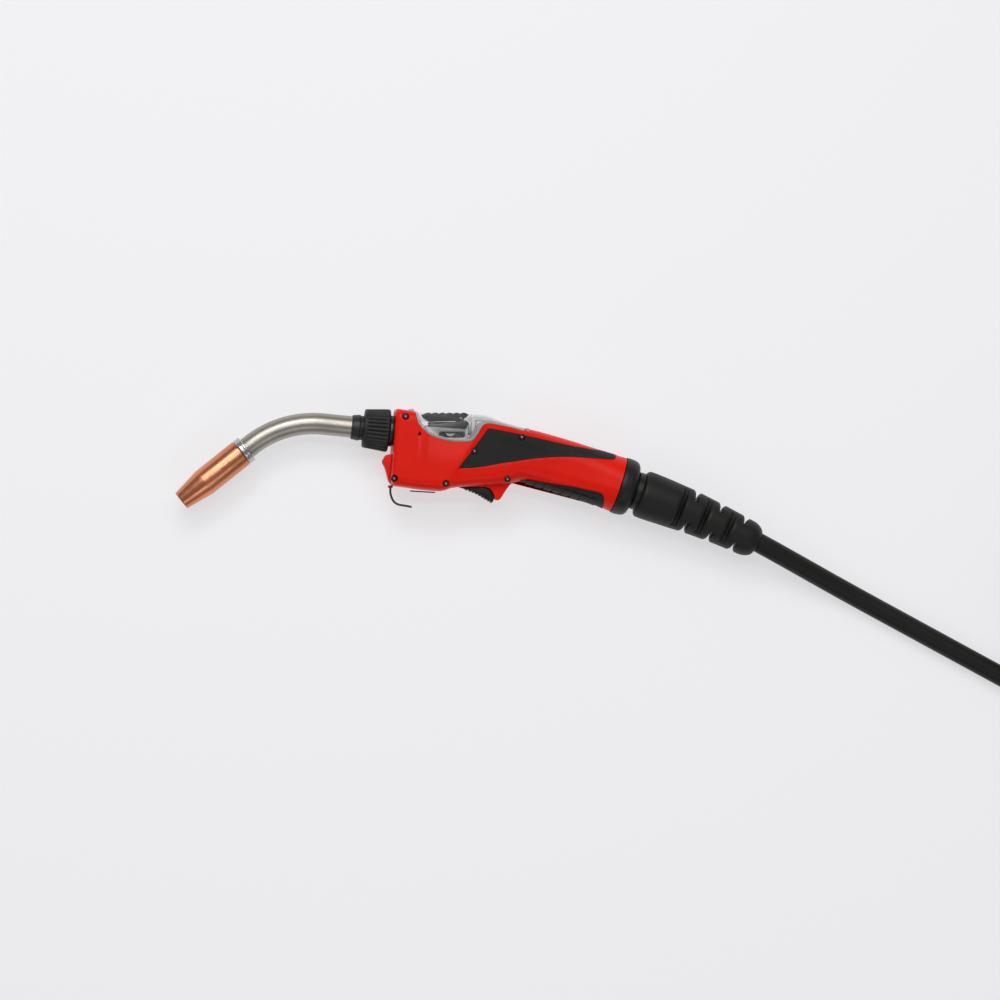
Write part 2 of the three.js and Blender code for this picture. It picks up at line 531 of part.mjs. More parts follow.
// ---------- central connector ----------
const plugStart = ahead(tailStart, TAIL_HEADING, TAIL_LENGTH);
const plugTurned = (profile, sides = 24) => turned(profile, plugStart, TAIL_HEADING, sides, PLUG_R + 0.2);
add('plug_boot', plugTurned([[0, 0], [0, 12], [12, 13.5], [41, 17], [42, 16.2], [42, 0]]), BLACK, 0.6);
add('plug_body', plugTurned([[42.3, 0], [42.3, 16.5], [46, 18.6], [80, 18.6], [84, 17.2], [84, 0]]), BLACK, 0.5);
const ringProfile = [[84.3, 14], [84.3, 19], [86.5, PLUG_R], [102, PLUG_R], [104.5, 19], [104.5, 14]];
add('coupling_ring', plugTurned(ringProfile, 28), DARK_STEEL, 0.4, 0.9);
const barrelProfile = [[84.3, 1.5], [84.3, 13.6], [104.2, 13.6], [104.2, 6], [116, 6], [117.5, 5], [117.5, 1.5]];
add('plug_barrel', plugTurned(barrelProfile), BRASS, 0.3, 1);
[-1, 1].forEach((side, i) => {
  const z = PLUG_R + 0.2 + side * 9.6;
  const pin = [[104.5, 0], [104.5, 1.3], [111, 1.3], [112, 0.7], [112, 0]];
  add(`contact_pin_${i + 1}`, turned(pin, plugStart, TAIL_HEADING, 10, z), BRASS, 0.3, 1);
});

export default group;
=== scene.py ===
"""MIG welding torch lying on its side on a pale floor, seen from above."""

import json
import math

import bmesh
import bpy
from mathutils import Matrix, Vector


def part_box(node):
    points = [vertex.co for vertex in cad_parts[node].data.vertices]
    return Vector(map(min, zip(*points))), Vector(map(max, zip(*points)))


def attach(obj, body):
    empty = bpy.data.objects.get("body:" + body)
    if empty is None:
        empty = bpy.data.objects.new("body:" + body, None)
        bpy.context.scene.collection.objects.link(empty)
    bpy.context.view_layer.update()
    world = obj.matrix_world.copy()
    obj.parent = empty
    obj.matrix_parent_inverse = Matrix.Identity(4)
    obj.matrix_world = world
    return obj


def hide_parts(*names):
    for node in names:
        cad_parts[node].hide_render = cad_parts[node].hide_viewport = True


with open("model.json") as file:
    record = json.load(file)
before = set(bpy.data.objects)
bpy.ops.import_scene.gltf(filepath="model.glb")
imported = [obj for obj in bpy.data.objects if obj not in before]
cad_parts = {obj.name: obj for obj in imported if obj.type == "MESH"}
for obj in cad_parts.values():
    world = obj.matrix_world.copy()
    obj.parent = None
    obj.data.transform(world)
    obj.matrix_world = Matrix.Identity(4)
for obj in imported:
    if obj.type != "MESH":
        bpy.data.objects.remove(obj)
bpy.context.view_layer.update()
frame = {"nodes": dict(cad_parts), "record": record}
NODES = frame["nodes"]
MM = 0.001
DEG = math.pi / 180

# ---------- places, in millimetres, shared with the CAD ----------
MID = 30.0
NECK_TILT = -5.8 * DEG
NUT_START = (-106.7, 53.1)
NUT_LENGTH = 25.7
NOZZLE_HEADING = 218.7 * DEG
NOZZLE_BACK = (-222.7, 32.8)
REAR_TILT = -17.8 * DEG
REAR_END = (149.0, -3.3)
REAR_R = 28.5
HOSE_R = 10.0
HOSE_HEADING = -28.4 * DEG
HOSE_EXIT = (287.5, -59.5)
HOSE_STRAIGHT = 392.0
COIL_OUTER_R = 124.0
COIL_INNER_R = 104.0
COIL_LEVEL = 11.0
TAIL_HEADING = 140 * DEG
TAIL_LENGTH = 110.0
PLUG_HEIGHT = 20.2


def ahead(point, heading, distance):
    return (point[0] + distance * math.cos(heading), point[1] + distance * math.sin(heading))


# ---------- camera, floor and light ----------
VIEW_CENTRE = Vector((0.0300, -0.0185, 0.030))
VIEW_WIDTH = 1.0
VIEW_DISTANCE = 4.0
VIEW_LEAN = 5.0 * DEG           # the camera stands a little towards the nozzle
SENSOR = 36.0


def make_camera():
    data = bpy.data.cameras.new("camera")
    data.sensor_width = SENSOR
    data.lens = SENSOR * VIEW_DISTANCE / VIEW_WIDTH
    data.clip_end = 50
    camera = bpy.data.objects.new("camera", data)
    bpy.context.scene.collection.objects.link(camera)
    away = Vector((-math.sin(VIEW_LEAN), 0, math.cos(VIEW_LEAN)))
    right = Vector((math.cos(VIEW_LEAN), 0, math.sin(VIEW_LEAN)))
    up = away.cross(right)
    turn = Matrix((right, up, away)).transposed().to_4x4()
    camera.matrix_world = Matrix.Translation(VIEW_CENTRE + away * VIEW_DISTANCE) @ turn
    bpy.context.scene.camera = camera


def area_light(name, place, target, size, power, color=(1, 1, 1)):
    data = bpy.data.lights.new(name, "AREA")
    data.shape = "RECTANGLE"
    data.size, data.size_y = size
    data.energy = power
    data.color = color
    light = bpy.data.objects.new(name, data)
    light.location = place
    light.rotation_euler = (Vector(target) - Vector(place)).to_track_quat("-Z", "Y").to_euler()
    bpy.context.scene.collection.objects.link(light)


def make_light():
    world = bpy.data.worlds.new("world")
    world.use_nodes = True
    background = world.node_tree.nodes["Background"]
    background.inputs["Color"].default_value = (0.97, 0.97, 1.0, 1)
    background.inputs["Strength"].default_value = 0.25
    bpy.context.scene.world = world
    area_light("overhead", (-0.6, 3.0, 4.6), (0, 0, 0), (6.0, 3.2), 95)
    area_light("key", (-0.5, 1.5, 1.9), (0, 0, 0), (1.2, 0.5), 11)
    area_light("strip", (0.0, 0.5, 1.9), (0, 0, 0), (1.6, 0.14), 5)
    area_light("fill", (0.8, -2.6, 3.0), (0, 0, 0), (3.0, 1.2), 14)


def make_floor():
    half = 20.0
    data = bpy.data.meshes.new("floor")
    data.from_pydata([(-half, -half, 0), (half, -half, 0), (half, half, 0), (-half, half, 0)], [],
                     [(0, 1, 2, 3)])
    floor = bpy.data.objects.new("floor", data)
    bpy.context.scene.collection.objects.link(floor)
    material = bpy.data.materials.new("floor_paint")
    material.use_nodes = True
    shader = material.node_tree.nodes["Principled BSDF"]
    shader.inputs["Base Color"].default_value = (0.38, 0.38, 0.385, 1)
    shader.inputs["Roughness"].default_value = 1.0
    shader.inputs["Specular IOR Level"].default_value = 0.1
    shader.inputs["Emission Color"].default_value = (1, 1, 1.02, 1)
    shader.inputs["Emission Strength"].default_value = 0.57
    data.materials.append(material)


make_camera()
make_light()
make_floor()
bpy.context.scene.view_settings.view_transform = "Standard"


# ---------- materials ----------
class Paint:
    """A procedural material under construction: a Principled shader and the nodes that feed it."""

    def __init__(self, name, color, roughness, metallic=0.0, **sockets):
        self.material = bpy.data.materials.new(name)
        self.material.use_nodes = True
        self.tree = self.material.node_tree
        self.shader = self.tree.nodes["Principled BSDF"]
        self.shader.inputs["Base Color"].default_value = (*color, 1)
        self.shader.inputs["Roughness"].default_value = roughness
        self.shader.inputs["Metallic"].default_value = metallic
        for socket, value in sockets.items():
            self.shader.inputs[socket.replace("_", " ")].default_value = value
        coords = self.tree.nodes.new("ShaderNodeTexCoord")
        self.place = coords.outputs["Object"]

    def node(self, kind, values=(), **links):
        made = self.tree.nodes.new(kind)
        for socket, value in dict(values).items():
            made.inputs[socket].default_value = value
        for socket, source in links.items():
            self.tree.links.new(source, made.inputs[socket.replace("_", " ")])
        return made

    def noise(self, scale, detail=3.0, stretch=(1, 1, 1), rough=0.5):
        mapped = self.node("ShaderNodeMapping", {"Scale": stretch}, Vector=self.place)
        noise = self.node("ShaderNodeTexNoise", {"Scale": scale, "Detail": detail, "Roughness": rough},
                          Vector=mapped.outputs["Vector"])
        return noise.outputs["Fac"]

    def ramp(self, source, stops):
        ramp = self.node("ShaderNodeValToRGB", Fac=source)
        elements = ramp.color_ramp.elements
        while len(elements) < len(stops):
            elements.new(0.5)
        for element, (at, color) in zip(elements, stops):
            element.position = at
            element.color = (*color, 1) if len(color) == 3 else color
        return ramp.outputs["Color"]

    def range(self, source, low, high):
        mapped = self.node("ShaderNodeMapRange", {"To Min": low, "To Max": high}, Value=source)
        return mapped.outputs["Result"]

    def feed(self, socket, source):
        self.tree.links.new(source, self.shader.inputs[socket])
        return self

    def bump(self, source, height, strength=1.0):
        bump = self.node("ShaderNodeBump", {"Strength": strength, "Distance": height}, Height=source)
        previous = self.shader.inputs["Normal"]
        if previous.is_linked:
            self.tree.links.new(previous.links[0].from_socket, bump.inputs["Normal"])
        self.tree.links.new(bump.outputs["Normal"], self.shader.inputs["Normal"])
        return self


def plastic(name, color, roughness, grain=0.00003, grain_scale=1400, spread=0.12, **sockets):
    """Moulded plastic: a fine spark-eroded grain, slightly uneven gloss and tone."""
    paint = Paint(name, color, roughness, **sockets)
    blotch = paint.noise(35, 4)
    darker = tuple(c * (1 - spread) for c in color)
    lighter = tuple(min(1, c * (1 + spread)) for c in color)
    paint.feed("Base Color", paint.ramp(blotch, [(0.3, darker), (0.7, lighter)]))
    paint.feed("Roughness", paint.range(paint.noise(90, 3), roughness - 0.06, roughness + 0.08))
    return paint.bump(paint.noise(grain_scale, 2), grain, 0.5)


def metal(name, color, roughness, stretch=(1, 1, 1), scratch_scale=500, spread=0.1, **sockets):
    """Bare metal with fine scratches and a slightly uneven polish."""
    paint = Paint(name, color, roughness, 1.0, **sockets)
    tone = paint.noise(28, 5)
    darker = tuple(c * (1 - spread) for c in color)
    lighter = tuple(min(1, c * (1 + spread)) for c in color)
    paint.feed("Base Color", paint.ramp(tone, [(0.3, darker), (0.7, lighter)]))
    scratches = paint.noise(scratch_scale, 4, stretch)
    paint.feed("Roughness", paint.range(scratches, roughness - 0.07, roughness + 0.1))
    return paint.bump(scratches, 0.000004, 0.2)


MATERIALS = {
    "red_plastic": plastic("red_plastic", (0.82, 0.011, 0.003), 0.33, spread=0.04, Specular_IOR_Level=0.15),
    "dark_red_plastic": plastic("dark_red_plastic", (0.2, 0.02, 0.015), 0.45),
    "grip_rubber": plastic("grip_rubber", (0.013, 0.012, 0.011), 0.62, 0.00006, 900, Specular_IOR_Level=0.3),
    "screw_steel": metal("screw_steel", (0.035, 0.03, 0.03), 0.4),
    "bright_steel": metal("bright_steel", (0.5, 0.49, 0.47), 0.32),
    "cast_aluminium": metal("cast_aluminium", (0.36, 0.365, 0.36), 0.45),
    "dark_metal": metal("dark_metal", (0.07, 0.068, 0.065), 0.35),
    "black_plastic": plastic("black_plastic", (0.010, 0.010, 0.009), 0.42, Specular_IOR_Level=0.3),
    "nut_plastic": plastic("nut_plastic", (0.017, 0.017, 0.017), 0.5, Specular_IOR_Level=0.3),
    "sleeve_plastic": plastic("sleeve_plastic", (0.018, 0.018, 0.018), 0.4, Specular_IOR_Level=0.4),
    "satin_tube": metal("satin_tube", (0.40, 0.37, 0.33), 0.36, (1, 1, 0.3), 300),
    "liner_steel": metal("liner_steel", (0.3, 0.3, 0.29), 0.4),
    "ring_steel": metal("ring_steel", (0.55, 0.55, 0.53), 0.22),
    "insulator": plastic("insulator", (0.12, 0.07, 0.04), 0.6),
    "brass": metal("brass", (0.62, 0.46, 0.2), 0.3),
    "copper": metal("copper", (0.70, 0.26, 0.14), 0.27, (1, 1, 0.2), 180),
    "relief_rubber": plastic("relief_rubber", (0.011, 0.010, 0.009), 0.5, 0.00005, 900, Specular_IOR_Level=0.3),
    "hose_rubber": plastic("hose_rubber", (0.014, 0.013, 0.012), 0.46, 0.00005, 700, Specular_IOR_Level=0.2),
}


def clear_plastic(name, color, front_alpha, rear_alpha):
    """Clear plastic, a little smokier towards the hinge."""
    paint = Paint(name, color, 0.1)
    parts = paint.node("ShaderNodeSeparateXYZ", Vector=paint.place)
    span = paint.node("ShaderNodeMapRange", {"From Min": -0.004, "From Max": 0.008, "To Min": front_alpha,
                                             "To Max": rear_alpha}, Value=parts.outputs["X"])
    paint.feed("Alpha", span.outputs["Result"])
    paint.feed("Roughness", paint.range(paint.noise(60, 3), 0.06, 0.18))
    return paint


MATERIALS["clear_plastic"] = clear_plastic("clear_plastic", (0.62, 0.64, 0.62), 0.03, 0.3)
# cloudy_plastic is a paler, less clear copy of the cover's plastic; on the cover's rim band it is painted
# highlight along the clear cover's edge
MATERIALS["cloudy_plastic"] = clear_plastic("cloudy_plastic", (0.56, 0.55, 0.53), 0.42, 0.6)
MATERIALS = {slot: paint.material for slot, paint in MATERIALS.items()}


def dress_cad_nodes():
    for entry in frame["record"]["subparts"]:
        node = NODES[entry["node"]]
        node.data.materials.clear()
        node.data.materials.append(MATERIALS[entry["material_slot"]])


dress_cad_nodes()


# ---------- hosepack ----------
RUN_HEIGHTS = [
    (-14, 30), (0, 30), (18, 29.2), (36, 26.6), (54, 22.8), (72, 18.6), (90, 14.8), (110, 11.8), (132, 10.3),
    (160, 10), (200, 10), (240, 10), (280, 10.1), (320, 10.6), (350, 11), (HOSE_STRAIGHT, 11),
]
TAIL_HEIGHTS = [(20, 31), (40, 30.5), (50, 29.5), (62, 27), (76, 24), (90, 21.5), (100, 20.4),
                (TAIL_LENGTH + 6, 20.2)]
COIL_TURN = 1248.4              # degrees of turning from the run to the tail
COIL_STEP = 4.0


def blend_between(value, start, end):
    t = min(1.0, max(0.0, (value - start) / (end - start)))
    return t * t * (3 - 2 * t)


def coil_point(centre, first_angle, turned):
    """Outer turn, inner turn, up a layer, inner turn, outer turn."""
    step_in = blend_between(turned, 290, 360) - blend_between(turned, 870, 940)
    radius = COIL_OUTER_R - (COIL_OUTER_R - COIL_INNER_R) * step_in
    height = COIL_LEVEL + 2 * HOSE_R * blend_between(turned, 575, 650)
    x, y = ahead(centre, first_angle + turned * DEG, radius)
    return (x, y, height)


def hose_route():
    points = []
    for along, height in RUN_HEIGHTS:
        points.append((*ahead(HOSE_EXIT, HOSE_HEADING, along), height))
    start = ahead(HOSE_EXIT, HOSE_HEADING, HOSE_STRAIGHT)
    centre = ahead(start, HOSE_HEADING + math.pi / 2, COIL_OUTER_R)
    first_angle = HOSE_HEADING - math.pi / 2
    turned = 2 * COIL_STEP
    while turned < COIL_TURN:
        points.append(coil_point(centre, first_angle, turned))
        turned += COIL_STEP
    tail = ahead(centre, TAIL_HEADING - math.pi / 2, COIL_OUTER_R)
    for along, height in TAIL_HEIGHTS:
        points.append((*ahead(tail, TAIL_HEADING, along), height))
    return points


def smooth_line(points, spacing):
    """Catmull-Rom through the points, sampled about every spacing."""
    line = []
    last = len(points) - 1
    for i in range(last):
        p = [Vector(points[min(max(i + k, 0), last)]) for k in (-1, 0, 1, 2)]
        steps = max(1, round((p[2] - p[1]).length / spacing))
        for j in range(steps):
            t = j / steps
            line.append(0.5 * (2 * p[1] + (p[2] - p[0]) * t + (2 * p[0] - 5 * p[1] + 4 * p[2] - p[3]) * t * t
                               + (3 * p[1] - p[0] - 3 * p[2] + p[3]) * t ** 3))
    line.append(Vector(points[-1]))
    return line


def curve_piece(name, line, radius, material, body, resolution=6):
    data = bpy.data.curves.new(name, "CURVE")
    data.dimensions = "3D"
    data.bevel_depth = radius * MM
    data.bevel_resolution = resolution
    data.use_fill_caps = True
    spline = data.splines.new("POLY")
    spline.points.add(len(line) - 1)
    for point, place in zip(spline.points, line):
        point.co = (place[0] * MM, place[1] * MM, place[2] * MM, 1)
    spline.use_smooth = True
    data.materials.append(MATERIALS[material])
    piece = bpy.data.objects.new(name, data)
    bpy.context.scene.collection.objects.link(piece)
    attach(piece, body)
    return piece


hose = curve_piece("hosepack", smooth_line(hose_route(), 6.0), HOSE_R, "hose_rubber", "hose")
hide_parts("hose_run", "hose_coil", "hose_tail")


# ---------- mesh tools ----------
SOLVER = "MANIFOLD"


def mesh_object(name, verts, faces):
    """A mesh object from millimetre points, its faces turned outwards."""
    data = bpy.data.meshes.new(name)
    data.from_pydata([(x * MM, y * MM, z * MM) for x, y, z in verts], [], faces)
    work = bmesh.new()
    work.from_mesh(data)
    bmesh.ops.remove_doubles(work, verts=work.verts, dist=1e-7)
    bmesh.ops.recalc_face_normals(work, faces=work.faces)
    work.to_mesh(data)
    work.free()
    made = bpy.data.objects.new(name, data)
    bpy.context.scene.collection.objects.link(made)
    return made


def apply_modifiers(piece):
    bpy.context.view_layer.update()
    baked = bpy.data.meshes.new_from_object(piece.evaluated_get(bpy.context.evaluated_depsgraph_get()))
    piece.modifiers.clear()
    old = piece.data
    piece.data = baked
    bpy.data.meshes.remove(old)


def cut(piece, *tools, operation="DIFFERENCE", keep=False):
    """Cuts, joins or intersects a piece with closed tools, one after another."""
    for tool in tools:
        modifier = piece.modifiers.new("cut", "BOOLEAN")
        modifier.operation = operation
        modifier.solver = SOLVER
        modifier.object = tool
        apply_modifiers(piece)
        if not keep:
            bpy.data.objects.remove(tool)
    return piece


def copy_of(piece, name):
    made = bpy.data.objects.new(name, piece.data.copy())
    bpy.context.scene.collection.objects.link(made)
    return made


def finish_piece(piece, material, body, *nodes, bevel=0.3, sharp=38, segments=2, bevel_angle=40):
    """Rounds the edges, smooths the faces, and hands the piece to its body."""
    if bevel:
        modifier = piece.modifiers.new("round", "BEVEL")
        modifier.width = bevel * MM
        modifier.segments = segments
        modifier.limit_method = "ANGLE"
        modifier.angle_limit = bevel_angle * DEG
        modifier.use_clamp_overlap = True
        apply_modifiers(piece)
    piece.data.shade_smooth()
    piece.data.set_sharp_from_angle(angle=sharp * DEG)
    piece.data.materials.clear()
    piece.data.materials.append(MATERIALS[material])
    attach(piece, body)
    if nodes:
        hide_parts(*nodes)
    return piece


def prism(outline, low, high, name="prism"):
    count = len(outline)
    verts = [(x, y, low) for x, y in outline] + [(x, y, high) for x, y in outline]
    sides = [(i, (i + 1) % count, count + (i + 1) % count, count + i) for i in range(count)]
    return mesh_object(name, verts, [tuple(range(count))[::-1], tuple(range(count, 2 * count))] + sides)


def rings_solid(rings, name, closed=False):
    """A skin over rings of points, capped at both ends unless the rings close on themselves."""
    count = len(rings[0])
    verts = [tuple(p) for ring in rings for p in ring]
    faces = []
    spans = len(rings) if closed else len(rings) - 1
    for i in range(spans):
        a, b = i * count, ((i + 1) % len(rings)) * count
        faces += [(a + j, a + (j + 1) % count, b + (j + 1) % count, b + j) for j in range(count)]
    if not closed:
        faces.append(tuple(range(count))[::-1])
        faces.append(tuple(range((len(rings) - 1) * count, len(rings) * count)))
    return mesh_object(name, verts, faces)


def turned(profile, origin, heading, name="turned", sides=64, height=MID, shape=None):
    """A piece turned about a level axis. The profile of (along, radius) closes on itself.
    shape(angle, along, radius) may change a radius."""
    along_x, along_y = math.cos(heading), math.sin(heading)
    columns = []
    for j in range(sides):
        angle = 2 * math.pi * j / sides
        column = []
        for along, radius in profile:
            r = shape(angle, along, radius) if shape else radius
            out = r * math.cos(angle)
            column.append((origin[0] + along_x * along - along_y * out,
                           origin[1] + along_y * along + along_x * out,
                           height + r * math.sin(angle)))
        columns.append(column)
    return rings_solid(columns, name, closed=True)


def rod(place, low, high, radius, name="rod", sides=32):
    outline = [ahead(place, 2 * math.pi * j / sides, radius) for j in range(sides)]
    return prism(outline, low, high, name)


def block(x0, x1, y0, y1, z0, z1, name="block"):
    return prism([(x0, y0), (x1, y0), (x1, y1), (x0, y1)], z0, z1, name)


def eased(points, spacing=1.5):
    """An open line eased through its points."""
    return [(p[0], p[1]) for p in smooth_line([(x, y, 0) for x, y in points], spacing)]


def grown(outline, distance):
    """Moves a closed outline's corners outwards by a distance, inwards where it is negative."""
    area = sum(outline[i - 1][0] * outline[i][1] - outline[i][0] * outline[i - 1][1] for i in range(len(outline)))
    sense = math.copysign(distance, distance * area)
    moved = []
    for i, (x, y) in enumerate(outline):
        px, py = outline[i - 1]
        nx, ny = outline[(i + 1) % len(outline)]
        before = Vector((y - py, px - x)).normalized()
        after = Vector((ny - y, x - nx)).normalized()
        mid = (before + after).normalized()
        reach = sense / max(0.4, mid.dot(before))
        moved.append((x + mid[0] * reach, y + mid[1] * reach))
    return moved


# ---------- housing ----------
# Top point, bottom point, half width and squareness of each section, from the front face to the collar.
STATIONS = [
    ((-75.4, 69.4), (-80.4, 0.6), 25.0, 5.5),
    ((-74.6, 71.6), (-79.6, -2.2), 27.6, 6.5),
    ((-72.0, 72.2), (-77.0, -4.4), 29.2, 7),
    ((-66.0, 71.2), (-70.0, -5.4), 29.9, 7),
    ((-52.0, 69.6), (-60.0, -6.8), 30, 7),
    ((-32.0, 68.8), (-47.0, -8.4), 30, 7),
    ((-8.0, 68.2), (-36.0, -9.4), 30, 6.8),
    ((12.0, 66.2), (-28.0, -9.7), 29.9, 6.4),
    ((20.0, 64.2), (-19.5, -7.0), 28.7, 6),
    ((30.0, 60.4), (-4.0, -5.6), 27.9, 5.2),
    ((40.0, 56.9), (14.0, -5.2), 27.0, 4.5),
    ((51.0, 53.9), (34.0, -4.2), 25.6, 3.7),
    ((64.0, 51.2), (49.0, -0.6), 24.1, 3.1),
    ((80.0, 47.0), (66.0, -4.8), 23.0, 2.7),
    ((100.0, 41.3), (84.5, -10.3), 22.8, 2.6),
    ((120.0, 35.0), (103.5, -16.0), 23.4, 2.5),
    ((136.0, 30.2), (120.0, -21.5), 25.0, 2.3),
    ((148.0, 26.7), (131.5, -26.5), 27.0, 2.1),
    ((157.7, 23.9), (140.3, -30.4), REAR_R, 2),
]
SECTION_POINTS = 72
STATION_STEPS = 5
FLAT_SIDE = 1.03
WALL = 2.8
COVER_WALL = 1.8


def between(values, t):
    """Catmull-Rom between the second and third of four equal-length rows."""
    a, b, c, d = values
    return [0.5 * (2 * q + (r - p) * t + (2 * p - 5 * q + 4 * r - s) * t * t + (3 * q - p - 3 * r + s) * t ** 3)
            for p, q, r, s in zip(a, b, c, d)]


def fine_stations():
    rows = [(*top, *bottom, width, square) for top, bottom, width, square in STATIONS]
    last = len(rows) - 1
    fine = []
    for i in range(last):
        four = [rows[min(max(i + k, 0), last)] for k in (-1, 0, 1, 2)]
        fine += [between(four, j / STATION_STEPS) for j in range(STATION_STEPS)]
    fine.append(list(rows[-1]))
    return fine


FINE_STATIONS = fine_stations()


def housing_solid(inset, name, end_inset=None):
    end = inset if end_inset is None else end_inset
    rings = []
    for i, (tx, ty, bx, by, width, square) in enumerate(FINE_STATIONS):
        cx, cy, ux, uy = (tx + bx) / 2, (ty + by) / 2, (tx - bx) / 2, (ty - by) / 2
        scale = 1 - inset / math.hypot(ux, uy)
        if i == 0:
            cx += end
        if i == len(FINE_STATIONS) - 1:
            cx, cy = ahead((cx, cy), REAR_TILT, -end)
        ring = []
        for j in range(SECTION_POINTS):
            angle = 2 * math.pi * (j + 0.5) / SECTION_POINTS
            up, side = math.cos(angle), math.sin(angle)
            up = math.copysign(abs(up) ** (2 / square), up) * scale
            side = min(1, FLAT_SIDE * abs(side) ** (2 / square)) * math.copysign(1, side)
            ring.append((cx + ux * up, cy + uy * up, MID + side * (width - inset)))
        rings.append(ring)
    return rings_solid(rings, name)


COVER_RIM_LOW = [
    (53.3, 49.7), (43.5, 52.7), (30.1, 55.2), (18.5, 57.2), (13.6, 56.9), (9.9, 54.2), (6.0, 47.5),
    (1.6, 41.6), (-2.5, 39.5), (-7.8, 39.1), (-20.1, 39.6), (-29.4, 41.4), (-37.6, 43.9), (-43.7, 47.0),
    (-48.8, 51.6),
    (-53.0, 56.8), (-55.4, 63.0), (-56.2, 68.0),
]
COVER_RIM = [(53.3, 80), *eased(COVER_RIM_LOW), (-56.6, 80)]
GRIP_TIP = [(-14.4, 12.9), (-0.8, 30.1), (15.3, 52.2)]
GRIP_TOP = [(17.6, 52.7), (30.0, 50.6), (50.5, 46.5), (79.2, 40.3), (99.7, 35.7), (118.2, 32.7), (132.6, 30.6),
            (143.4, 27.4)]
GRIP_END = [(145.6, 25.2), (143.8, 22.0)]
GRIP_LOW = [(132.6, 22.4), (110.0, 23.9), (91.5, 24.5), (76.2, 23.9), (60.8, 22.4), (45.4, 20.3), (30.0, 18.0),
            (12.7, 14.9), (-2.0, 13.2)]
GRIP_OUTLINE = GRIP_TIP + eased(GRIP_TOP) + GRIP_END + eased(GRIP_LOW)
LOWER_TOP = [(49.5, 1.4), (60.8, 0.9), (71.0, -0.7), (87.4, -3.2), (101.8, -5.3), (118.2, -8.9), (128.0, -11.2),
             (131.3, -14.2), (132.4, -18.6), (132.6, -24.0)]
LOWER_GRIP_OUTLINE = eased(LOWER_TOP) + [(132.6, -45), (49.5, -45)]
GUARD_LINE = [(14.0, -5.3), (18.6, -7.0), (22.0, -11.2), (24.0, -16.3), (26.0, -18.6), (28.1, -18.3),
              (29.8, -16.6),
              (33.0, -11.6), (36.3, -6.8), (39.2, -3.2), (42.5, -0.8)]
GUARD_OUTLINE = [(-11.2, -5.4), (2, -5.4), *eased(GUARD_LINE, 0.8), (42.5, 4), (-11.2, 4)]
GUARD_HALF = 13
SLOT_HALF = 9.3
HINGE = (56.5, 50.7)
HINGE_HALF = 12
HINGE_R = 2.6
SCREWS = [(-66.2, 64.3), (-77.6, 2.8), (-26.2, -2.2), (2.2, 30.0), (49.8, 44.1), (35.4, 2.2)]
SCREW_R = 3.2
PANEL_SCREWS = (3, 4)
GAP = 0.3
STEP = 0.5
STEP_OUTLINE = [(-30.5, -9), (-14.6, 12.6), (0, 24), (139, 27), (146, 26), (150, 30), (175, 20),
                (165, -50), (-30, -50)]
FAR = 60


def all_through(outline, grow=0.0, low=MID - FAR, high=MID + FAR):
    return prism(grown(outline, grow) if grow else outline, low, high)


def screw_holes(i):
    """Head recess and shank hole of a screw."""
    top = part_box(f"shell_screw_{i + 1}")[1].z / MM
    return rod(SCREWS[i], top - 1.4, 90, SCREW_R + 0.5), rod(SCREWS[i], top - 14, 90, 1.5)


def guard_solid():
    guard = prism(GUARD_OUTLINE, MID - GUARD_HALF, MID + GUARD_HALF, "guard")
    modifier = guard.modifiers.new("round", "BEVEL")
    modifier.width = 2.6 * MM
    modifier.segments = 4
    modifier.limit_method = "ANGLE"
    modifier.angle_limit = 60 * DEG
    apply_modifiers(guard)
    return guard


def make_shells():
    step = cut(housing_solid(-1, "step"), housing_solid(STEP, "stepped"))
    body = cut(housing_solid(0, "housing"), cut(step, all_through(STEP_OUTLINE), operation="INTERSECT"))
    cut(body, guard_solid(), operation="UNION")
    cut(body, housing_solid(WALL, "cavity"))
    cut(body, all_through(COVER_RIM),
        rod(HINGE, MID - HINGE_HALF - GAP, MID + HINGE_HALF + GAP, HINGE_R + 0.6),
        block(50, HINGE[0], 50, 60, MID - HINGE_HALF - GAP, MID + HINGE_HALF + GAP),
        block(-11.5, 25, -30, 12, MID - SLOT_HALF, MID + SLOT_HALF),
        turned([(0, 0), (0, 14.2), (40, 14.2), (40, 0)], ahead(NUT_START, NECK_TILT, 20), NECK_TILT),
        turned([(-8, 0), (-8, 16.5), (6, 16.5), (6, 0)], REAR_END, REAR_TILT),
        all_through(LOWER_GRIP_OUTLINE), all_through(GRIP_OUTLINE))
    right = copy_of(body, "right_housing")
    left = body
    left.name = "left_housing"
    cut(left, block(-120, 200, -80, 120, -20, MID + 0.12))
    cut(right, block(-120, 200, -80, 120, MID - 0.12, 90))
    for i in range(len(SCREWS)):
        cut(left, *screw_holes(i))
    cut(left, rod((-52.4, 47.2), 52, 90, 1.7))
    finish_piece(left, "red_plastic", "handle", "left_shell", bevel=0.28)
    finish_piece(right, "red_plastic", "handle", "right_shell", bevel=0.28)


def skin_part(outline, low, high, name, wall=WALL, inset=0.0):
    part = cut(housing_solid(inset, name), all_through(outline, -0.22, low, high), operation="INTERSECT")
    return cut(part, housing_solid(wall, "hollow"))


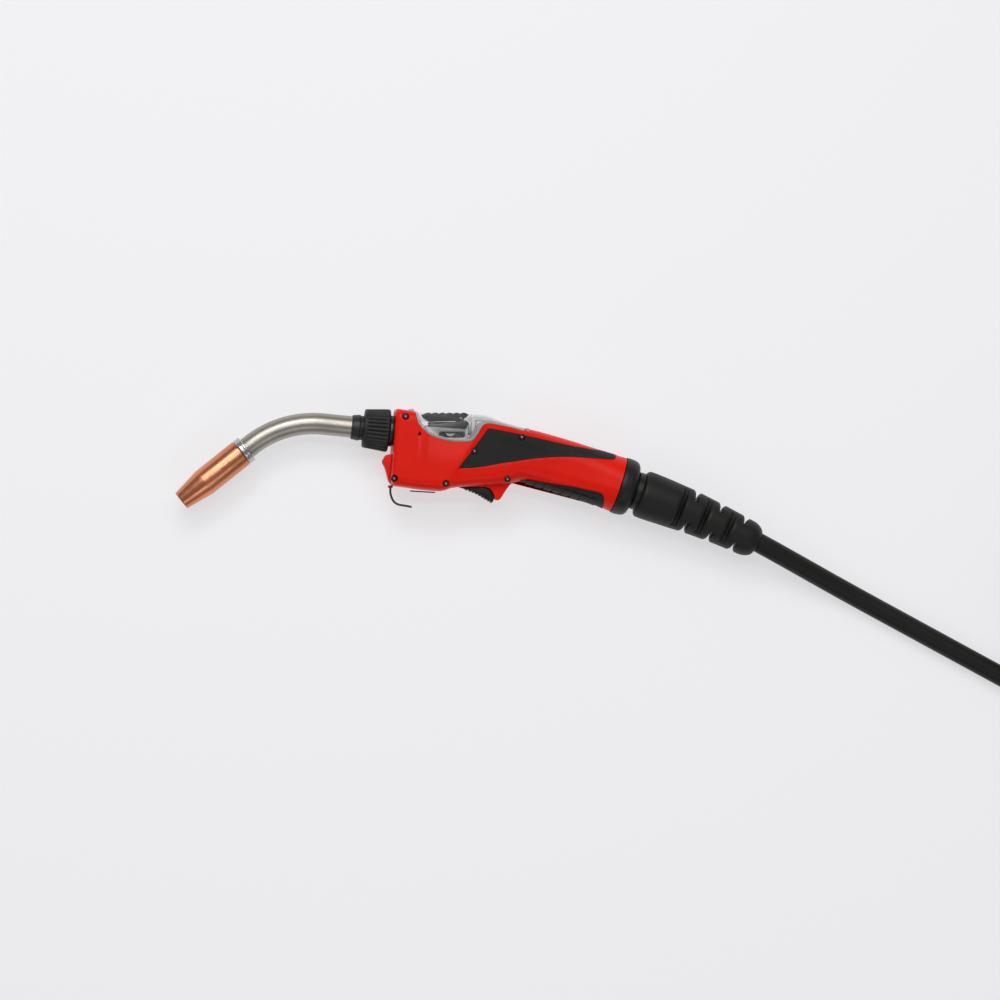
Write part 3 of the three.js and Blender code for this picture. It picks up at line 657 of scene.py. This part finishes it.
def make_grips():
    rib_lift, rib_pitch = -0.6, 4.4
    for side, name in ((1, "left"), (-1, "right")):
        low, high = (MID + 8, 99) if side > 0 else (-39, MID - 8)
        panel = skin_part(GRIP_OUTLINE, low, high, f"{name}_side_grip")
        lifted = skin_part(GRIP_OUTLINE, low, high, "lifted", inset=rib_lift)
        bars = None
        for k in range(17):
            x = 34 + k * rib_pitch
            reach = 11 - 0.28 * k
            foot = (x - 5, 48.5 - 0.235 * (x - 34) - reach)
            head = (x + 2.5, 48.3 - 0.235 * (x - 34))
            along = Vector((head[0] - foot[0], head[1] - foot[1])).normalized()
            nx, ny = -along[1] * 0.8, along[0] * 0.8
            bar = prism([(foot[0] + nx, foot[1] + ny), (foot[0] - nx, foot[1] - ny),
                         (head[0] - nx, head[1] - ny), (head[0] + nx, head[1] + ny)], low, high)
            bars = bar if bars is None else cut(bars, bar, operation="UNION")
        cut(lifted, bars, operation="INTERSECT")
        cut(panel, lifted, operation="UNION")
        if side > 0:
            for i in PANEL_SCREWS:
                cut(panel, *screw_holes(i))
        finish_piece(panel, "grip_rubber", "handle", f"{name}_grip_panel", bevel=0.25)


def make_lower_grip():
    grip = skin_part(LOWER_GRIP_OUTLINE, MID - FAR, MID + FAR, "lower_grip_strip")
    lifted = skin_part(LOWER_GRIP_OUTLINE, MID - FAR, MID + FAR, "lifted", inset=-0.9)
    bars = None
    pitch, width = 9.4, 7.0
    for k in range(8):
        foot = ahead((57.0, -6.0), REAR_TILT, k * pitch)
        corners = [(-width / 2, 9), (-width / 2, -30), (width / 2, -30), (width / 2, 9)]
        outline = [ahead(ahead(foot, REAR_TILT, a), REAR_TILT + math.pi / 2, b) for a, b in corners]
        bar = prism(outline, MID - 17, MID + 17)
        bars = bar if bars is None else cut(bars, bar, operation="UNION")
    cut(lifted, bars, operation="INTERSECT")
    cut(grip, lifted, operation="UNION")
    finish_piece(grip, "grip_rubber", "handle", "lower_grip", bevel=0.25)


TRIGGER_TOP = [(-10.5, -6.0), (-10.2, 0.0), (-0.5, 0.2), (7.0, -2.6), (19.0, -4.0), (22.6, -9.0), (23.3, -15.0),
               (23.0, -18.1), (21.9, -20.7), (20.9, -20.8)]
TRIGGER_FOOT = [(20.9, -20.8), (14.7, -17.2), (7.6, -13.0), (-0.6, -9.4), (-7.8, -6.8)]
TRIGGER_HALF = 8.5


def make_trigger():
    foot = eased(TRIGGER_FOOT, 1.1)
    teeth = []
    for i, (x, y) in enumerate(foot[1:-4]):
        lift = 1.0 if i % 3 == 0 else -0.6
        teeth.append((x + 0.3 * lift, y - lift))
    outline = TRIGGER_TOP + teeth + foot[-4:]
    lever = prism(outline, MID - TRIGGER_HALF, MID + TRIGGER_HALF, "trigger_lever")
    cut(lever, rod((-5.5, -3.4), 0, 60, 1.8))
    finish_piece(lever, "black_plastic", "trigger", "trigger", bevel=0.22)


make_shells()
make_grips()
make_lower_grip()
make_trigger()


# ---------- neck and nozzle ----------
TUBE_R = 10.75
TUBE_BORE_R = 8.0
BEND_START = 39.9
BEND_R = 100.0


def neck_line():
    start = NECK_TILT + math.pi
    bend_from = ahead(NUT_START, NECK_TILT, -BEND_START)
    centre = ahead(bend_from, start + math.pi / 2, BEND_R)
    line = [(*ahead(NUT_START, NECK_TILT, 40 - 8 * i), NECK_TILT + math.pi) for i in range(10)]
    steps = 40
    for i in range(steps + 1):
        heading = start + (NOZZLE_HEADING - start) * i / steps
        line.append((*ahead(centre, heading - math.pi / 2, BEND_R), heading))
    last = ahead(NOZZLE_BACK, NOZZLE_HEADING, 6)
    for share in (0.35, 0.7, 1.0):
        x, y, _ = line[9 + steps + 1]
        line.append((x + (last[0] - x) * share, y + (last[1] - y) * share, NOZZLE_HEADING))
    return line


def circle_at(x, y, heading, radius, sides=64, height=MID):
    nx, ny = -math.sin(heading), math.cos(heading)
    ring = []
    for j in range(sides):
        angle = 2 * math.pi * j / sides
        out = radius * math.cos(angle)
        ring.append((x + nx * out, y + ny * out, height + radius * math.sin(angle)))
    return ring


def swept(line, radius, bore=0.0, name="swept", sides=64):
    rings = [circle_at(x, y, heading, radius, sides) for x, y, heading in line]
    if bore:
        rings += [circle_at(x, y, heading, bore, sides) for x, y, heading in reversed(line)]
        return rings_solid(rings, name, closed=True)
    return rings_solid(rings, name)


def headed(points, spacing=0.8):
    """Points eased into a level line, each with its heading."""
    flat = smooth_line([(x, y, 0) for x, y in points], spacing)
    line = []
    for i, p in enumerate(flat):
        a, b = flat[max(i - 1, 0)], flat[min(i + 1, len(flat) - 1)]
        line.append((p[0], p[1], math.atan2(b[1] - a[1], b[0] - a[0])))
    return line


def rounded_profile(points, radius=0.6, steps=3):
    """Rounds the corners of a closed profile of (along, radius) with short arcs."""
    out = []
    count = len(points)
    for i in range(count):
        here = Vector(points[i])
        before, after = Vector(points[i - 1]), Vector(points[(i + 1) % count])
        reach = min(radius, (before - here).length * 0.4, (after - here).length * 0.4)
        a = here + (before - here).normalized() * reach
        b = here + (after - here).normalized() * reach
        for j in range(steps + 1):
            t = j / steps
            p = a * (1 - t) ** 2 + here * (2 * t * (1 - t)) + b * t * t
            out.append((p[0], p[1]))
    return out


def lathe_piece(name, profile, origin, heading, material, body, *nodes, round_by=0.5, sides=96, **options):
    piece = turned(rounded_profile(profile, round_by), origin, heading, name, sides, **options)
    return finish_piece(piece, material, body, *nodes, bevel=0)


def nut_rib(angle, along, radius):
    """Rounded ribs that die away before either end of the nut."""
    if radius < 17.5:
        return radius
    window = blend_between(along, 2.2, 4.6) * (1 - blend_between(along, NUT_LENGTH - 4.0, NUT_LENGTH - 1.6))
    wave = abs(math.sin(angle * NUT_RIBS / 2))
    return radius - 1.5 * window * (1 - wave ** 0.6)


NUT_RIBS = 30


def make_neck():
    line = neck_line()
    tube = swept(line, TUBE_R, TUBE_BORE_R, "neck_tube")
    finish_piece(tube, "satin_tube", "neck", "gooseneck", bevel=0.4, bevel_angle=70)
    finish_piece(swept(line, 2.4, 0, "liner", 24), "liner_steel", "neck", "wire_liner", bevel=0)
    slope = [(0.8 + (NUT_LENGTH - 3.8) * k / 26, 19.2 + 2.2 * k / 26) for k in range(27)]
    profile = [(0, 12.6), (0, 18.3), *slope, (NUT_LENGTH - 1.4, 21.3), (NUT_LENGTH - 0.3, 20.4),
               (NUT_LENGTH, 19.4),
               (NUT_LENGTH, 11.2), (6, 11.2), (6, 12.6)]
    nut = turned(profile, NUT_START, NECK_TILT, "ribbed_nut", NUT_RIBS * 10, shape=nut_rib)
    finish_piece(nut, "nut_plastic", "nut", "union_nut", bevel=0, sharp=42)
    sleeve = [(-12.2, 10.95), (-12.2, 11.5), (-11.2, 12.1), (-4.4, 13.1), (-3.6, 12.2), (5.2, 12.2),
              (5.2, 10.95)]
    lathe_piece("sleeve", sleeve, NUT_START, NECK_TILT, "sleeve_plastic", "neck", "neck_sleeve")
    socket = [(26.1, 11.05), (26.1, 15.5), (29.4, 15.5), (29.4, 13.8), (48, 13.8), (48, 11.05)]
    lathe_piece("socket", socket, NUT_START, NECK_TILT, "dark_metal", "handle", "neck_socket", round_by=0.4)


NOZZLE_R = 14.0
NOZZLE_TIP_R = 9.7
NOZZLE_LENGTH = 83.5


def make_nozzle():
    place = (NOZZLE_BACK, NOZZLE_HEADING)
    ring = [(0, 11), (0, 13.3), (0.9, 14.1), (2.2, 14.1), (2.6, 13.6), (3.2, 13.6), (3.6, 14.1), (5.9, 14.1),
            (6.7, 13.6), (6.7, 11)]
    lathe_piece("steel_ring", ring, *place, "ring_steel", "neck", "nozzle_ring", round_by=0.25)
    nozzle = [(7, 12.2), (7, 13.5), (7.5, NOZZLE_R), (53.5, NOZZLE_R), (56, 13.7),
              (NOZZLE_LENGTH - 0.8, NOZZLE_TIP_R),
              (NOZZLE_LENGTH, 9.2), (NOZZLE_LENGTH, 8.2), (55.5, 12.2)]
    lathe_piece("nozzle_shell", nozzle, *place, "copper", "nozzle", "gas_nozzle", round_by=0.5, sides=128)
    lathe_piece("insulator", [(9, 9.3), (9, 11.9), (22, 11.9), (22, 9.3)], *place, "insulator", "neck",
                "nozzle_insulator")
    holder = turned(rounded_profile([(6.3, 2.7), (6.3, 7.6), (8, 9), (40, 9), (46, 6.5), (46, 2.7)], 0.5),
                    *place,
                    "gas_diffuser", 64)
    for k in range(6):
        heading = NOZZLE_HEADING
        x, y = ahead(NOZZLE_BACK, heading, 34)
        angle = 2 * math.pi * k / 6
        drill = rod((0, 0), 4, 14, 1.3, "drill", 16)
        out = Vector((-math.sin(heading) * math.cos(angle), math.cos(heading) * math.cos(angle),
                      math.sin(angle)))
        turn = out.to_track_quat("Z", "Y").to_matrix().to_4x4()
        drill.data.transform(Matrix.Translation((x * MM, y * MM, MID * MM)) @ turn)
        cut(holder, drill)
    finish_piece(holder, "brass", "neck", "tip_holder", bevel=0.15)
    tip = [(46.3, 1), (46.3, 4.2), (60, 4.2), (60.4, 3.9), (62, 3.9), (62.4, 4.2), (76, 4.2), (80, 3), (80, 1)]
    lathe_piece("tip", tip, *place, "copper", "neck", "contact_tip", round_by=0.2, sides=48)


make_neck()
make_nozzle()


# ---------- rear collar, swivel and bend relief ----------
BOOT_LINE = [
    (171.0, -11.6, -20.0, 20.8), (171.7, -11.9, -20.0, 22.4), (173.2, -12.4, -20.0, 23.6),
    (175.8, -13.3, -20.0, 24.0),
    (184, -16.3, -20.0, 23.9), (196, -20.7, -20.5, 23.4), (207, -24.9, -21.0, 22.8), (217.2, -28.7, -22, 22.2),
    (228, -33.2, -23, 21.4), (240, -38.4, -24, 20.6), (252, -43.7, -25, 19.8), (264, -49.3, -26, 19.1),
    (274, -54.2, -27, 18.6), (280, -57.1, -27.5, 18.2), (283.2, -58.7, -27.5, 17.2),
    (285.8, -60.1, -27.5, 15.8),
    (288.1, -61.3, -27.5, 13.8), (289.3, -61.9, -27.5, 11.4),
]
SIDE_SLOTS = [(210.6, -26.2), (234.2, -35.9), (258.6, -46.8)]
EDGE_SLOTS = [(221.6, -30.5), (246.4, -41.2), (270.8, -52.6)]


def boot_at(x):
    """Heading in radians and radius of the boot where its axis passes x."""
    for (x0, _, h0, r0), (x1, _, h1, r1) in zip(BOOT_LINE, BOOT_LINE[1:]):
        if x0 <= x <= x1:
            share = (x - x0) / (x1 - x0)
            return (h0 + (h1 - h0) * share) * DEG, r0 + (r1 - r0) * share
    return BOOT_LINE[-1][2] * DEG, BOOT_LINE[-1][3]


def local_block(place, heading, along, out, height):
    """A block given by its ranges along a heading, to the left of it, and up."""
    corners = [(along[0], out[0]), (along[1], out[0]), (along[1], out[1]), (along[0], out[1])]
    outline = [ahead(ahead(place, heading, a), heading + math.pi / 2, b) for a, b in corners]
    return prism(outline, *height)


def boot_slots(place, on_edges, core=10.8, half=1.5):
    """A pair of facing slots with eased shoulders, on the boot's edges or on its faces."""
    heading, radius = boot_at(place[0])
    lip = [(half, radius - 3.2), (half + 0.5, radius - 1.9), (half + 1.5, radius - 0.7),
           (half + 3.2, radius + 0.5),
           (half + 3.4, radius + 4)]
    profile = [(half, core - 4), *lip] + [(-a, r) for a, r in reversed(lip)] + [(-half, core - 4)]
    slots = []
    for side in (-1, 1):
        near, far = sorted((side * core, side * 40))
        zone = (near, far) if on_edges else (-40, 40)
        height = (MID - 40, MID + 40) if on_edges else (MID + near, MID + far)
        tool = turned(profile, place, heading, "slot", 96)
        slots.append(cut(tool, local_block(place, heading, (-9, 9), zone, height), operation="INTERSECT"))
    return slots


def make_boot():
    rings = []
    rows = [list(row) for row in BOOT_LINE]
    last = len(rows) - 1
    for i in range(last):
        four = [rows[min(max(i + k, 0), last)] for k in (-1, 0, 1, 2)]
        steps = 4
        for j in range(steps):
            x, y, heading, radius = between(four, j / steps)
            rings.append(circle_at(x, y, heading * DEG, radius, 96))
    x, y, heading, radius = rows[-1]
    rings.append(circle_at(x, y, heading * DEG, radius, 96))
    boot = rings_solid(rings, "boot")
    for place in SIDE_SLOTS:
        cut(boot, *boot_slots(place, False))
    for place in EDGE_SLOTS:
        cut(boot, *boot_slots(place, True))
    finish_piece(boot, "relief_rubber", "hose", "bend_relief", bevel=0.5, segments=2, sharp=50)


def make_rear():
    place = (REAR_END, REAR_TILT)
    collar = [(0.3, 18), (0.3, REAR_R), (4, 28.9), (9, 28.5), (12.1, 27.7), (13.9, 26.4), (15.3, 24.4),
              (15.8, 22.8),
              (15.8, 21.2), (13.2, 21.2), (13.2, 18)]
    lathe_piece("end_collar", collar, *place, "black_plastic", "handle", "rear_collar", round_by=0.5, sides=128)
    ball = [(1, 9), (1, 16), (4.5, 17.2), (8, 17.5), (11.5, 17.2), (15.5, 15.5), (17.6, 15.5), (17.6, 19),
            (23.6, 19),
            (23.6, 9)]
    lathe_piece("swivel", ball, *place, "black_plastic", "hose", "swivel_ball", round_by=0.5)
    for k, along in enumerate((19.9, 22.2)):
        ring = [(along, 18.6), (along, 19.25), (along + 0.7, 19.25), (along + 0.7, 18.6)]
        lathe_piece(f"neck_band_{k + 1}", ring, *place, "dark_metal", "hose", round_by=0.2)


make_rear()
make_boot()


# ---------- screws and front details ----------
def upright(profile, place, name, sides=48):
    """Turned about a vertical axis; the closed profile is of (height, radius)."""
    columns = []
    for j in range(sides):
        angle = 2 * math.pi * j / sides
        columns.append([(place[0] + r * math.cos(angle), place[1] + r * math.sin(angle), z) for z,
                        r in profile])
    return rings_solid(columns, name, closed=True)


def make_screws():
    for i, place in enumerate(SCREWS):
        low, high = (v.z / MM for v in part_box(f"shell_screw_{i + 1}"))
        head = [(low, 0), (low, 1.2), (high - 1.3, 1.2), (high - 1.3, SCREW_R - 0.1),
                (high - 0.35, SCREW_R - 0.1),
                (high, SCREW_R - 0.7), (high, 0)]
        screw = upright(head, place, f"screw_{i + 1}")
        socket = prism([ahead(place, math.pi * j / 3, 1.55) for j in range(6)], high - 0.9, high + 2)
        cut(screw, socket)
        finish_piece(screw, "screw_steel", "handle", f"shell_screw_{i + 1}", bevel=0.12)
        # A small disc of lighter steel at the bottom of each hex socket: painted glint in the black screw heads,
        # lighter than the head's own steel
        plug = [(high - 0.85, 0), (high - 0.85, 1.1), (high - 0.45, 1.0), (high - 0.35, 0)]
        finish_piece(upright(plug, place, f"screw_glint_disc_{i + 1}", 24), "liner_steel", "handle", bevel=0)


BOSS_LINE = [(-79, 27.5), (-84.0, 26.3), (-86.0, 24.2), (-87.0, 21.5), (-87.3, 18.8), (-86.6, 16.2),
             (-85.0, 12.2),
             (-83.7, 7.5), (-82.2, 1.4), (-80.6, -1.6)]
HOOK_X = -79.8
HOOK_WIRE_R = 1.1
HOOK_LINE = [(HOOK_X, -4.2), (HOOK_X, -8), (HOOK_X + 0.2, -12.5), (-77.4, -18.5), (-74, -22), (-70, -23.4),
             (-64, -24.4), (-58.5, -25.5)]


def make_front():
    boss = prism(eased(BOSS_LINE, 1.2) + [(-72, -1.6), (-72, 27.5)], MID - 9, MID + 9, "lamp_housing")
    shell = housing_solid(0, "clearance")
    shell.data.transform(Matrix.Translation((-GAP * MM, 0, 0)))
    cut(boss, shell, turned([(0, 0), (0, 3.5), (10, 3.5), (10, 0)], (-90, 19.4), 0, sides=48))
    finish_piece(boss, "red_plastic", "handle", "lamp_boss", bevel=0.9, segments=3)
    lens = [(0, 0), (0, 1.6), (0.5, 2.5), (1.4, 3.1), (7, 3.2), (7, 0)]
    lathe_piece("lens", lens, (-88, 19.4), 0, frame_slot("lamp_lens"), "handle", "lamp_lens", round_by=0.2,
                sides=48)
    plate = prism([(-60, -8.9), (-35.6, -10.4), (-35.7, -11.6), (-60.1, -10.1)], MID - 10, MID + 10,
                  "thin_plate")
    for z in (-5, 5):
        cut(plate, local_block((-53, -10), -3.5 * DEG, (0, 10), (-4, 4), (MID + z - 1.2, MID + z + 1.2)))
    finish_piece(plate, "dark_metal", "handle", "base_plate", bevel=0.25)
    bush = [(-6.4, 1.45), (-6.4, 2.1), (-6.0, 2.4), (-3.9, 2.4), (-3.9, 1.45)]
    lathe_piece("bush", bush, (HOOK_X, 0), math.pi / 2, frame_slot("hook_bush"), "handle", "hook_bush",
                round_by=0.2,
                sides=40)
    hook = swept(headed(HOOK_LINE), HOOK_WIRE_R, 0, "bent_hook", 24)
    finish_piece(hook, frame_slot("hanger_hook"), "hook", "hanger_hook", bevel=0.3, bevel_angle=70)


def frame_slot(node):
    return next(entry["material_slot"] for entry in frame["record"]["subparts"] if entry["node"] == node)


make_screws()
make_front()


# ---------- clear cover and the wire drive under it ----------
DRIVE_HALF = 14.0
DRIVE_AXIS = (-20.0, 38.1)
PRESSURE_AXIS = (-20.0, 51.1)
ARM_PIVOT = (-7.0, 56.0)
LEVER_PIVOT = (-10.0, 63.2)
# width of the cover's rim band, whose paler plastic is painted highlight
HIGHLIGHT_RIM_WIDTH = 2.9
KEEPER_LINE = [(4.6, 53), (4.6, 59.6), (5.4, 60.7), (7.5, 61.0), (14, 59.8), (21, 58.3)]


def make_cover():
    cover = cut(housing_solid(0, "window"), all_through(COVER_RIM, -0.4), operation="INTERSECT")
    cut(cover, housing_solid(COVER_WALL, "hollow"))
    knuckle = rod(HINGE, MID - HINGE_HALF, MID + HINGE_HALF, HINGE_R)
    tongue = block(50, 56.5, 50.3, 52.9, MID - HINGE_HALF, MID + HINGE_HALF)
    cut(cover, knuckle, tongue, operation="UNION")
    cut(cover, rod(HINGE, MID - 20, MID + 20, 1.5), block(-50.5, 1, 60, 80, MID - 11, MID + 11))
    # The cover's outer rim band gets the paler cloudy plastic below: painted highlight along the clear cover's
    # edge.
    band = copy_of(cover, "cover_rim_highlight")
    inner = grown(COVER_RIM, -HIGHLIGHT_RIM_WIDTH)
    cut(band, all_through(inner))
    cut(cover, all_through(inner), operation="INTERSECT")
    finish_piece(cover, "clear_plastic", "cover", "clear_cover", bevel=0.2)
    finish_piece(band, "clear_plastic", "cover", bevel=0.2)
    band.data.materials.clear()
    band.data.materials.append(MATERIALS["cloudy_plastic"])
    pin = upright([(MID - 18, 0), (MID - 18, 1.0), (MID - 17.6, 1.2), (MID + 17.6, 1.2), (MID + 18, 1.0),
                   (MID + 18, 0)],
                  HINGE, "hinge_pin")
    finish_piece(pin, "bright_steel", "handle", "cover_hinge_pin", bevel=0)
    catch = block(-61.5, -56.9, 69.5, 72.4, MID - 6, MID + 6, "cover_catch")
    finish_piece(catch, "cast_aluminium", "handle", bevel=0.5)


def roll(place, bore, name, half=5.0, radius=6.2):
    groove = [(MID + 0.9, radius), (MID, radius - 1.0), (MID - 0.9, radius)]
    profile = [(MID - half, bore), (MID - half, radius - 0.4), (MID - half + 0.4, radius), *reversed(groove),
               (MID + half - 0.4, radius), (MID + half, radius - 0.4), (MID + half, bore)]
    return upright(profile, place, name, 64)


def pin_piece(place, low, high, radius, name, node, body="handle"):
    profile = [(low, 0), (low, radius - 0.2), (low + 0.25, radius), (high - 0.25, radius),
               (high, radius - 0.2), (high, 0)]
    finish_piece(upright(profile, place, name, 32), frame_slot(node), body, node, bevel=0)


def make_drive():
    frame_block = block(-45, -3, 29.5, 55.5, MID - DRIVE_HALF, MID + DRIVE_HALF, "drive_frame")
    slot_ends = [(-29.3, 46.5), (-8.9, 46.5)]
    cut(frame_block, block(-34, -2, 20, 60, MID - 7.6, MID + 7.6),
        block(slot_ends[0][0], slot_ends[1][0], 43.4, 49.6, MID, MID + 20),
        rod(slot_ends[0], MID, MID + 20, 3.1), rod(slot_ends[1], MID, MID + 20, 3.1),
        rod(DRIVE_AXIS, MID - 20, MID + 20, 2.3), rod(ARM_PIVOT, MID - 20, MID + 20, 1.6),
        turned([(-20, 0), (-20, 3.4), (14, 3.4), (14, 0)], (-45, 46.8), NECK_TILT, sides=40))
    finish_piece(frame_block, "cast_aluminium", "handle", "drive_block", bevel=0.6, segments=3)
    guide = block(-2.7, 0.6, 46.5, 59.5, MID - 9, MID + 13.5, "wire_guide")
    finish_piece(guide, "cast_aluminium", "handle", bevel=0.6)
    finish_piece(roll(DRIVE_AXIS, 2.3, "lower_roll"), frame_slot("drive_roll"), "drive_wheel",
                 "drive_roll", bevel=0)
    finish_piece(roll(PRESSURE_AXIS, 1.8, "upper_roll"), frame_slot("pressure_roll"), "pressure_wheel",
                 "pressure_roll", bevel=0)
    pin_piece(DRIVE_AXIS, MID - 13.5, MID + 13.5, 2, "roll_axle", "drive_axle", "drive_wheel")
    pin_piece(PRESSURE_AXIS, MID - 5.2, MID + 5.2, 1.5, "upper_axle", "pressure_axle", "arm")
    pin_piece(LEVER_PIVOT, MID - 13, MID + 9.6, 1.2, "lever_axle", "lever_pin")
    pin_piece(ARM_PIVOT, MID - 16, MID + 7, 1.2, "arm_axle", "arm_pin")
    bracket = prism([(-13.5, 55.9), (-3.5, 55.9), (-3.5, 59), (-6, 65.8), (-14, 65.8)], MID - 13,
                    MID - 10.6, "angle")
    cut(bracket, block(-13.5, -3.5, 55.9, 57, MID - 16.8, MID - 12),
        block(-13.5, -3.5, 48, 57, MID - 16.8, MID - DRIVE_HALF - GAP), operation="UNION")
    cut(bracket, rod(LEVER_PIVOT, 0, 60, 1.5), rod(ARM_PIVOT, 0, 60, 1.5))
    finish_piece(bracket, frame_slot("lever_bracket"), "handle", "lever_bracket", bevel=0.3)
    cheek = [(-42, 57.4), (-41.6, 59.5), (-8.3, 59.5), (-6.2, 58.6), (-5.2, 57.0), (-5.2, 54.0), (-7.5, 52.2),
             (-13, 48.6), (-24, 48.6), (-26, 52.0), (-34, 55.2)]
    arm = prism(cheek, MID - 7, MID + 7, "press_arm")
    cut(arm, block(-50, 0, 40, 58.1, MID - 5.5, MID + 5.5), rod(ARM_PIVOT, 0, 60, 1.5))
    plate = prism([(-44, 55.5), (-43.4, 56.3), (-6, 60.6), (-4.2, 59.6), (-4.2, 53.6), (-6, 52.4)],
                  MID + 14.4, MID + 16.2)
    link = block(-41.5, -36, 58.1, 59.5, MID + 6.5, MID + 15)
    cut(plate, prism([(-41.5, 56.2), (-36, 56.2), (-36, 59.5), (-41.5, 59.5)], MID + 14.4, MID + 16.2), link,
        operation="UNION")
    cut(arm, plate, operation="UNION")
    finish_piece(arm, "dark_metal", "arm", "pressure_arm", bevel=0.4)
    keeper = swept(headed(KEEPER_LINE), 0.55, 0, "wire_keeper", 16)
    keeper.data.transform(Matrix.Translation((0, 0, 12 * MM)))
    finish_piece(keeper, "dark_metal", "handle", bevel=0)


def make_lever():
    bumps = []
    for k in range(6):
        x = -46.0 + 7.1 * k
        bumps += [(x, 67.2), (x + 1.2, 68.1), (x + 3.4, 68.6), (x + 5.6, 68.2), (x + 6.6, 67.3)]
    outline = [(-48.6, 66.6), *bumps, (-3.2, 67.2), (-2.2, 66.4), (-4.4, 64.0), (-9.5, 60.5), (-41.7, 60),
               (-46.6, 63.4)]
    lever = prism(outline, MID - 10, MID + 10, "ribbed_lever")
    cut(lever, rod(LEVER_PIVOT, 0, 60, 1.5))
    finish_piece(lever, "black_plastic", "lever", "tension_lever", bevel=0.4)


make_cover()
make_drive()
make_lever()


# ---------- motor and gearbox, hidden in the grip ----------
def make_motor():
    place = ((76, 20.5), REAR_TILT)
    motor = turned(rounded_profile([(0, 0), (0, 15), (50, 15), (50, 5), (54, 5), (54, 0)], 1.0), *place,
                   "motor_can", 64)
    finish_piece(motor, frame_slot("drive_motor"), "handle", "drive_motor", bevel=0)
    gears = block(44, 72, 10, 36, MID - 14, MID + 14, "gear_case")
    finish_piece(gears, frame_slot("gearbox"), "handle", "gearbox", bevel=1.2, segments=3)


make_motor()


# ---------- central connector and coil ties ----------
COIL_START = ahead(HOSE_EXIT, HOSE_HEADING, HOSE_STRAIGHT)
COIL_CENTRE = ahead(COIL_START, HOSE_HEADING + math.pi / 2, COIL_OUTER_R)
TAIL_START = ahead(COIL_CENTRE, TAIL_HEADING - math.pi / 2, COIL_OUTER_R)
PLUG_START = ahead(TAIL_START, TAIL_HEADING, TAIL_LENGTH)


def scallops(count, depth, low, high, least):
    def shape(angle, along, radius):
        if radius < least:
            return radius
        window = blend_between(along, low, low + 1.5) * (1 - blend_between(along, high - 1.5, high))
        return radius - depth * window * (0.5 - 0.5 * math.cos(angle * count))
    return shape


def plug_part(name, profile, material, body, node, shape=None, round_by=0.5, sides=96):
    piece = turned(rounded_profile(profile, round_by), PLUG_START, TAIL_HEADING, name, sides, PLUG_HEIGHT,
                   shape)
    return finish_piece(piece, material, body, node, bevel=0)


def make_plug():
    grooves = []
    for k in range(5):
        along = 8 + 6.2 * k
        radius = 13.1 + (along - 8) * 0.117
        grooves += [(along, radius), (along + 0.6, radius - 1.2), (along + 2.2, radius - 1.1),
                    (along + 2.8, radius + 0.3)]
    boot = plug_part("cable_boot", [(0, 0), (0, 11.2), (1, 12), *grooves, (41, 17), (42, 16.2), (42, 0)],
                     frame_slot("plug_boot"), "hose", "plug_boot", round_by=0.3)
    slope = [(46 + 1.5 * k, 18.6) for k in range(1, 22)]
    body = plug_part("plug_case", [(42.3, 0), (42.3, 16.5), (46, 18.6), *slope, (80, 18.6), (84, 17.2),
                                   (84, 0)],
                     frame_slot("plug_body"), "hose", "plug_body", scallops(8, 1.1, 50, 77, 18), sides=160)
    barrel = plug_part("plug_tube", [(84.3, 1.5), (84.3, 13.6), (104.2, 13.6), (104.2, 6), (116, 6),
                                     (117.5, 5), (117.5, 1.5)],
                       frame_slot("plug_barrel"), "hose", "plug_barrel", round_by=0.3)
    slope = [(86.5 + k, 20.0) for k in range(1, 15)]
    ring = plug_part("lock_ring", [(84.3, 14), (84.3, 19), (86.5, 20), *slope, (102, 20), (104.5, 19),
                                   (104.5, 14)],
                     frame_slot("coupling_ring"), "coupling", "coupling_ring",
                     scallops(24, 1.2, 87, 101.5, 19.5),
                     sides=240, round_by=0.3)
    pins = []
    for i, side in enumerate((-1, 1)):
        pin = turned([(104.5, 0), (104.5, 1.3), (111, 1.3), (111.7, 1.0), (112, 0.5), (112, 0)], PLUG_START,
                     TAIL_HEADING, f"signal_pin_{i + 1}", 24, PLUG_HEIGHT + side * 9.6)
        pins.append(finish_piece(pin, frame_slot(f"contact_pin_{i + 1}"), "hose", f"contact_pin_{i + 1}",
                                 bevel=0))
    return [boot, body, barrel, ring, *pins]


TIE_TURNS = (22.0, 138.0, 252.0)
TIE_HALF = 8.0


def rounded_box(half_width, low, high, corner):
    outline = []
    for cx, cy, first in ((half_width, high, 0), (-half_width, high, 90), (-half_width, low, 180),
                          (half_width, low, 270)):
        inward_x = cx - math.copysign(corner, cx)
        inward_y = cy - corner if cy == high else cy + corner
        for k in range(7):
            angle = (first + 15 * k) * DEG
            outline.append((inward_x + corner * math.cos(angle), inward_y + corner * math.sin(angle)))
    return outline


def make_ties():
    ties = []
    middle = (COIL_OUTER_R + COIL_INNER_R) / 2
    for i, turn in enumerate(TIE_TURNS):
        angle = HOSE_HEADING - math.pi / 2 + turn * DEG
        out, along = Vector((math.cos(angle), math.sin(angle))), Vector((-math.sin(angle), math.cos(angle)))
        centre = Vector(ahead(COIL_CENTRE, angle, middle))
        loops = []
        for grow, side in ((0.95, -1), (0.95, 1), (0, 1), (0, -1)):
            loop = []
            for r, z in rounded_box(20.7 + grow, 1.0 - grow, 41.2 + grow, 8 + grow):
                place = centre + out * r + along * (TIE_HALF * side)
                loop.append((place[0], place[1], z))
            loops.append(loop)
        tie = rings_solid(loops, f"coil_tie_{i + 1}", closed=True)
        ties.append(finish_piece(tie, "black_plastic", "hose", bevel=0.2))
    return ties


make_plug() + make_ties()
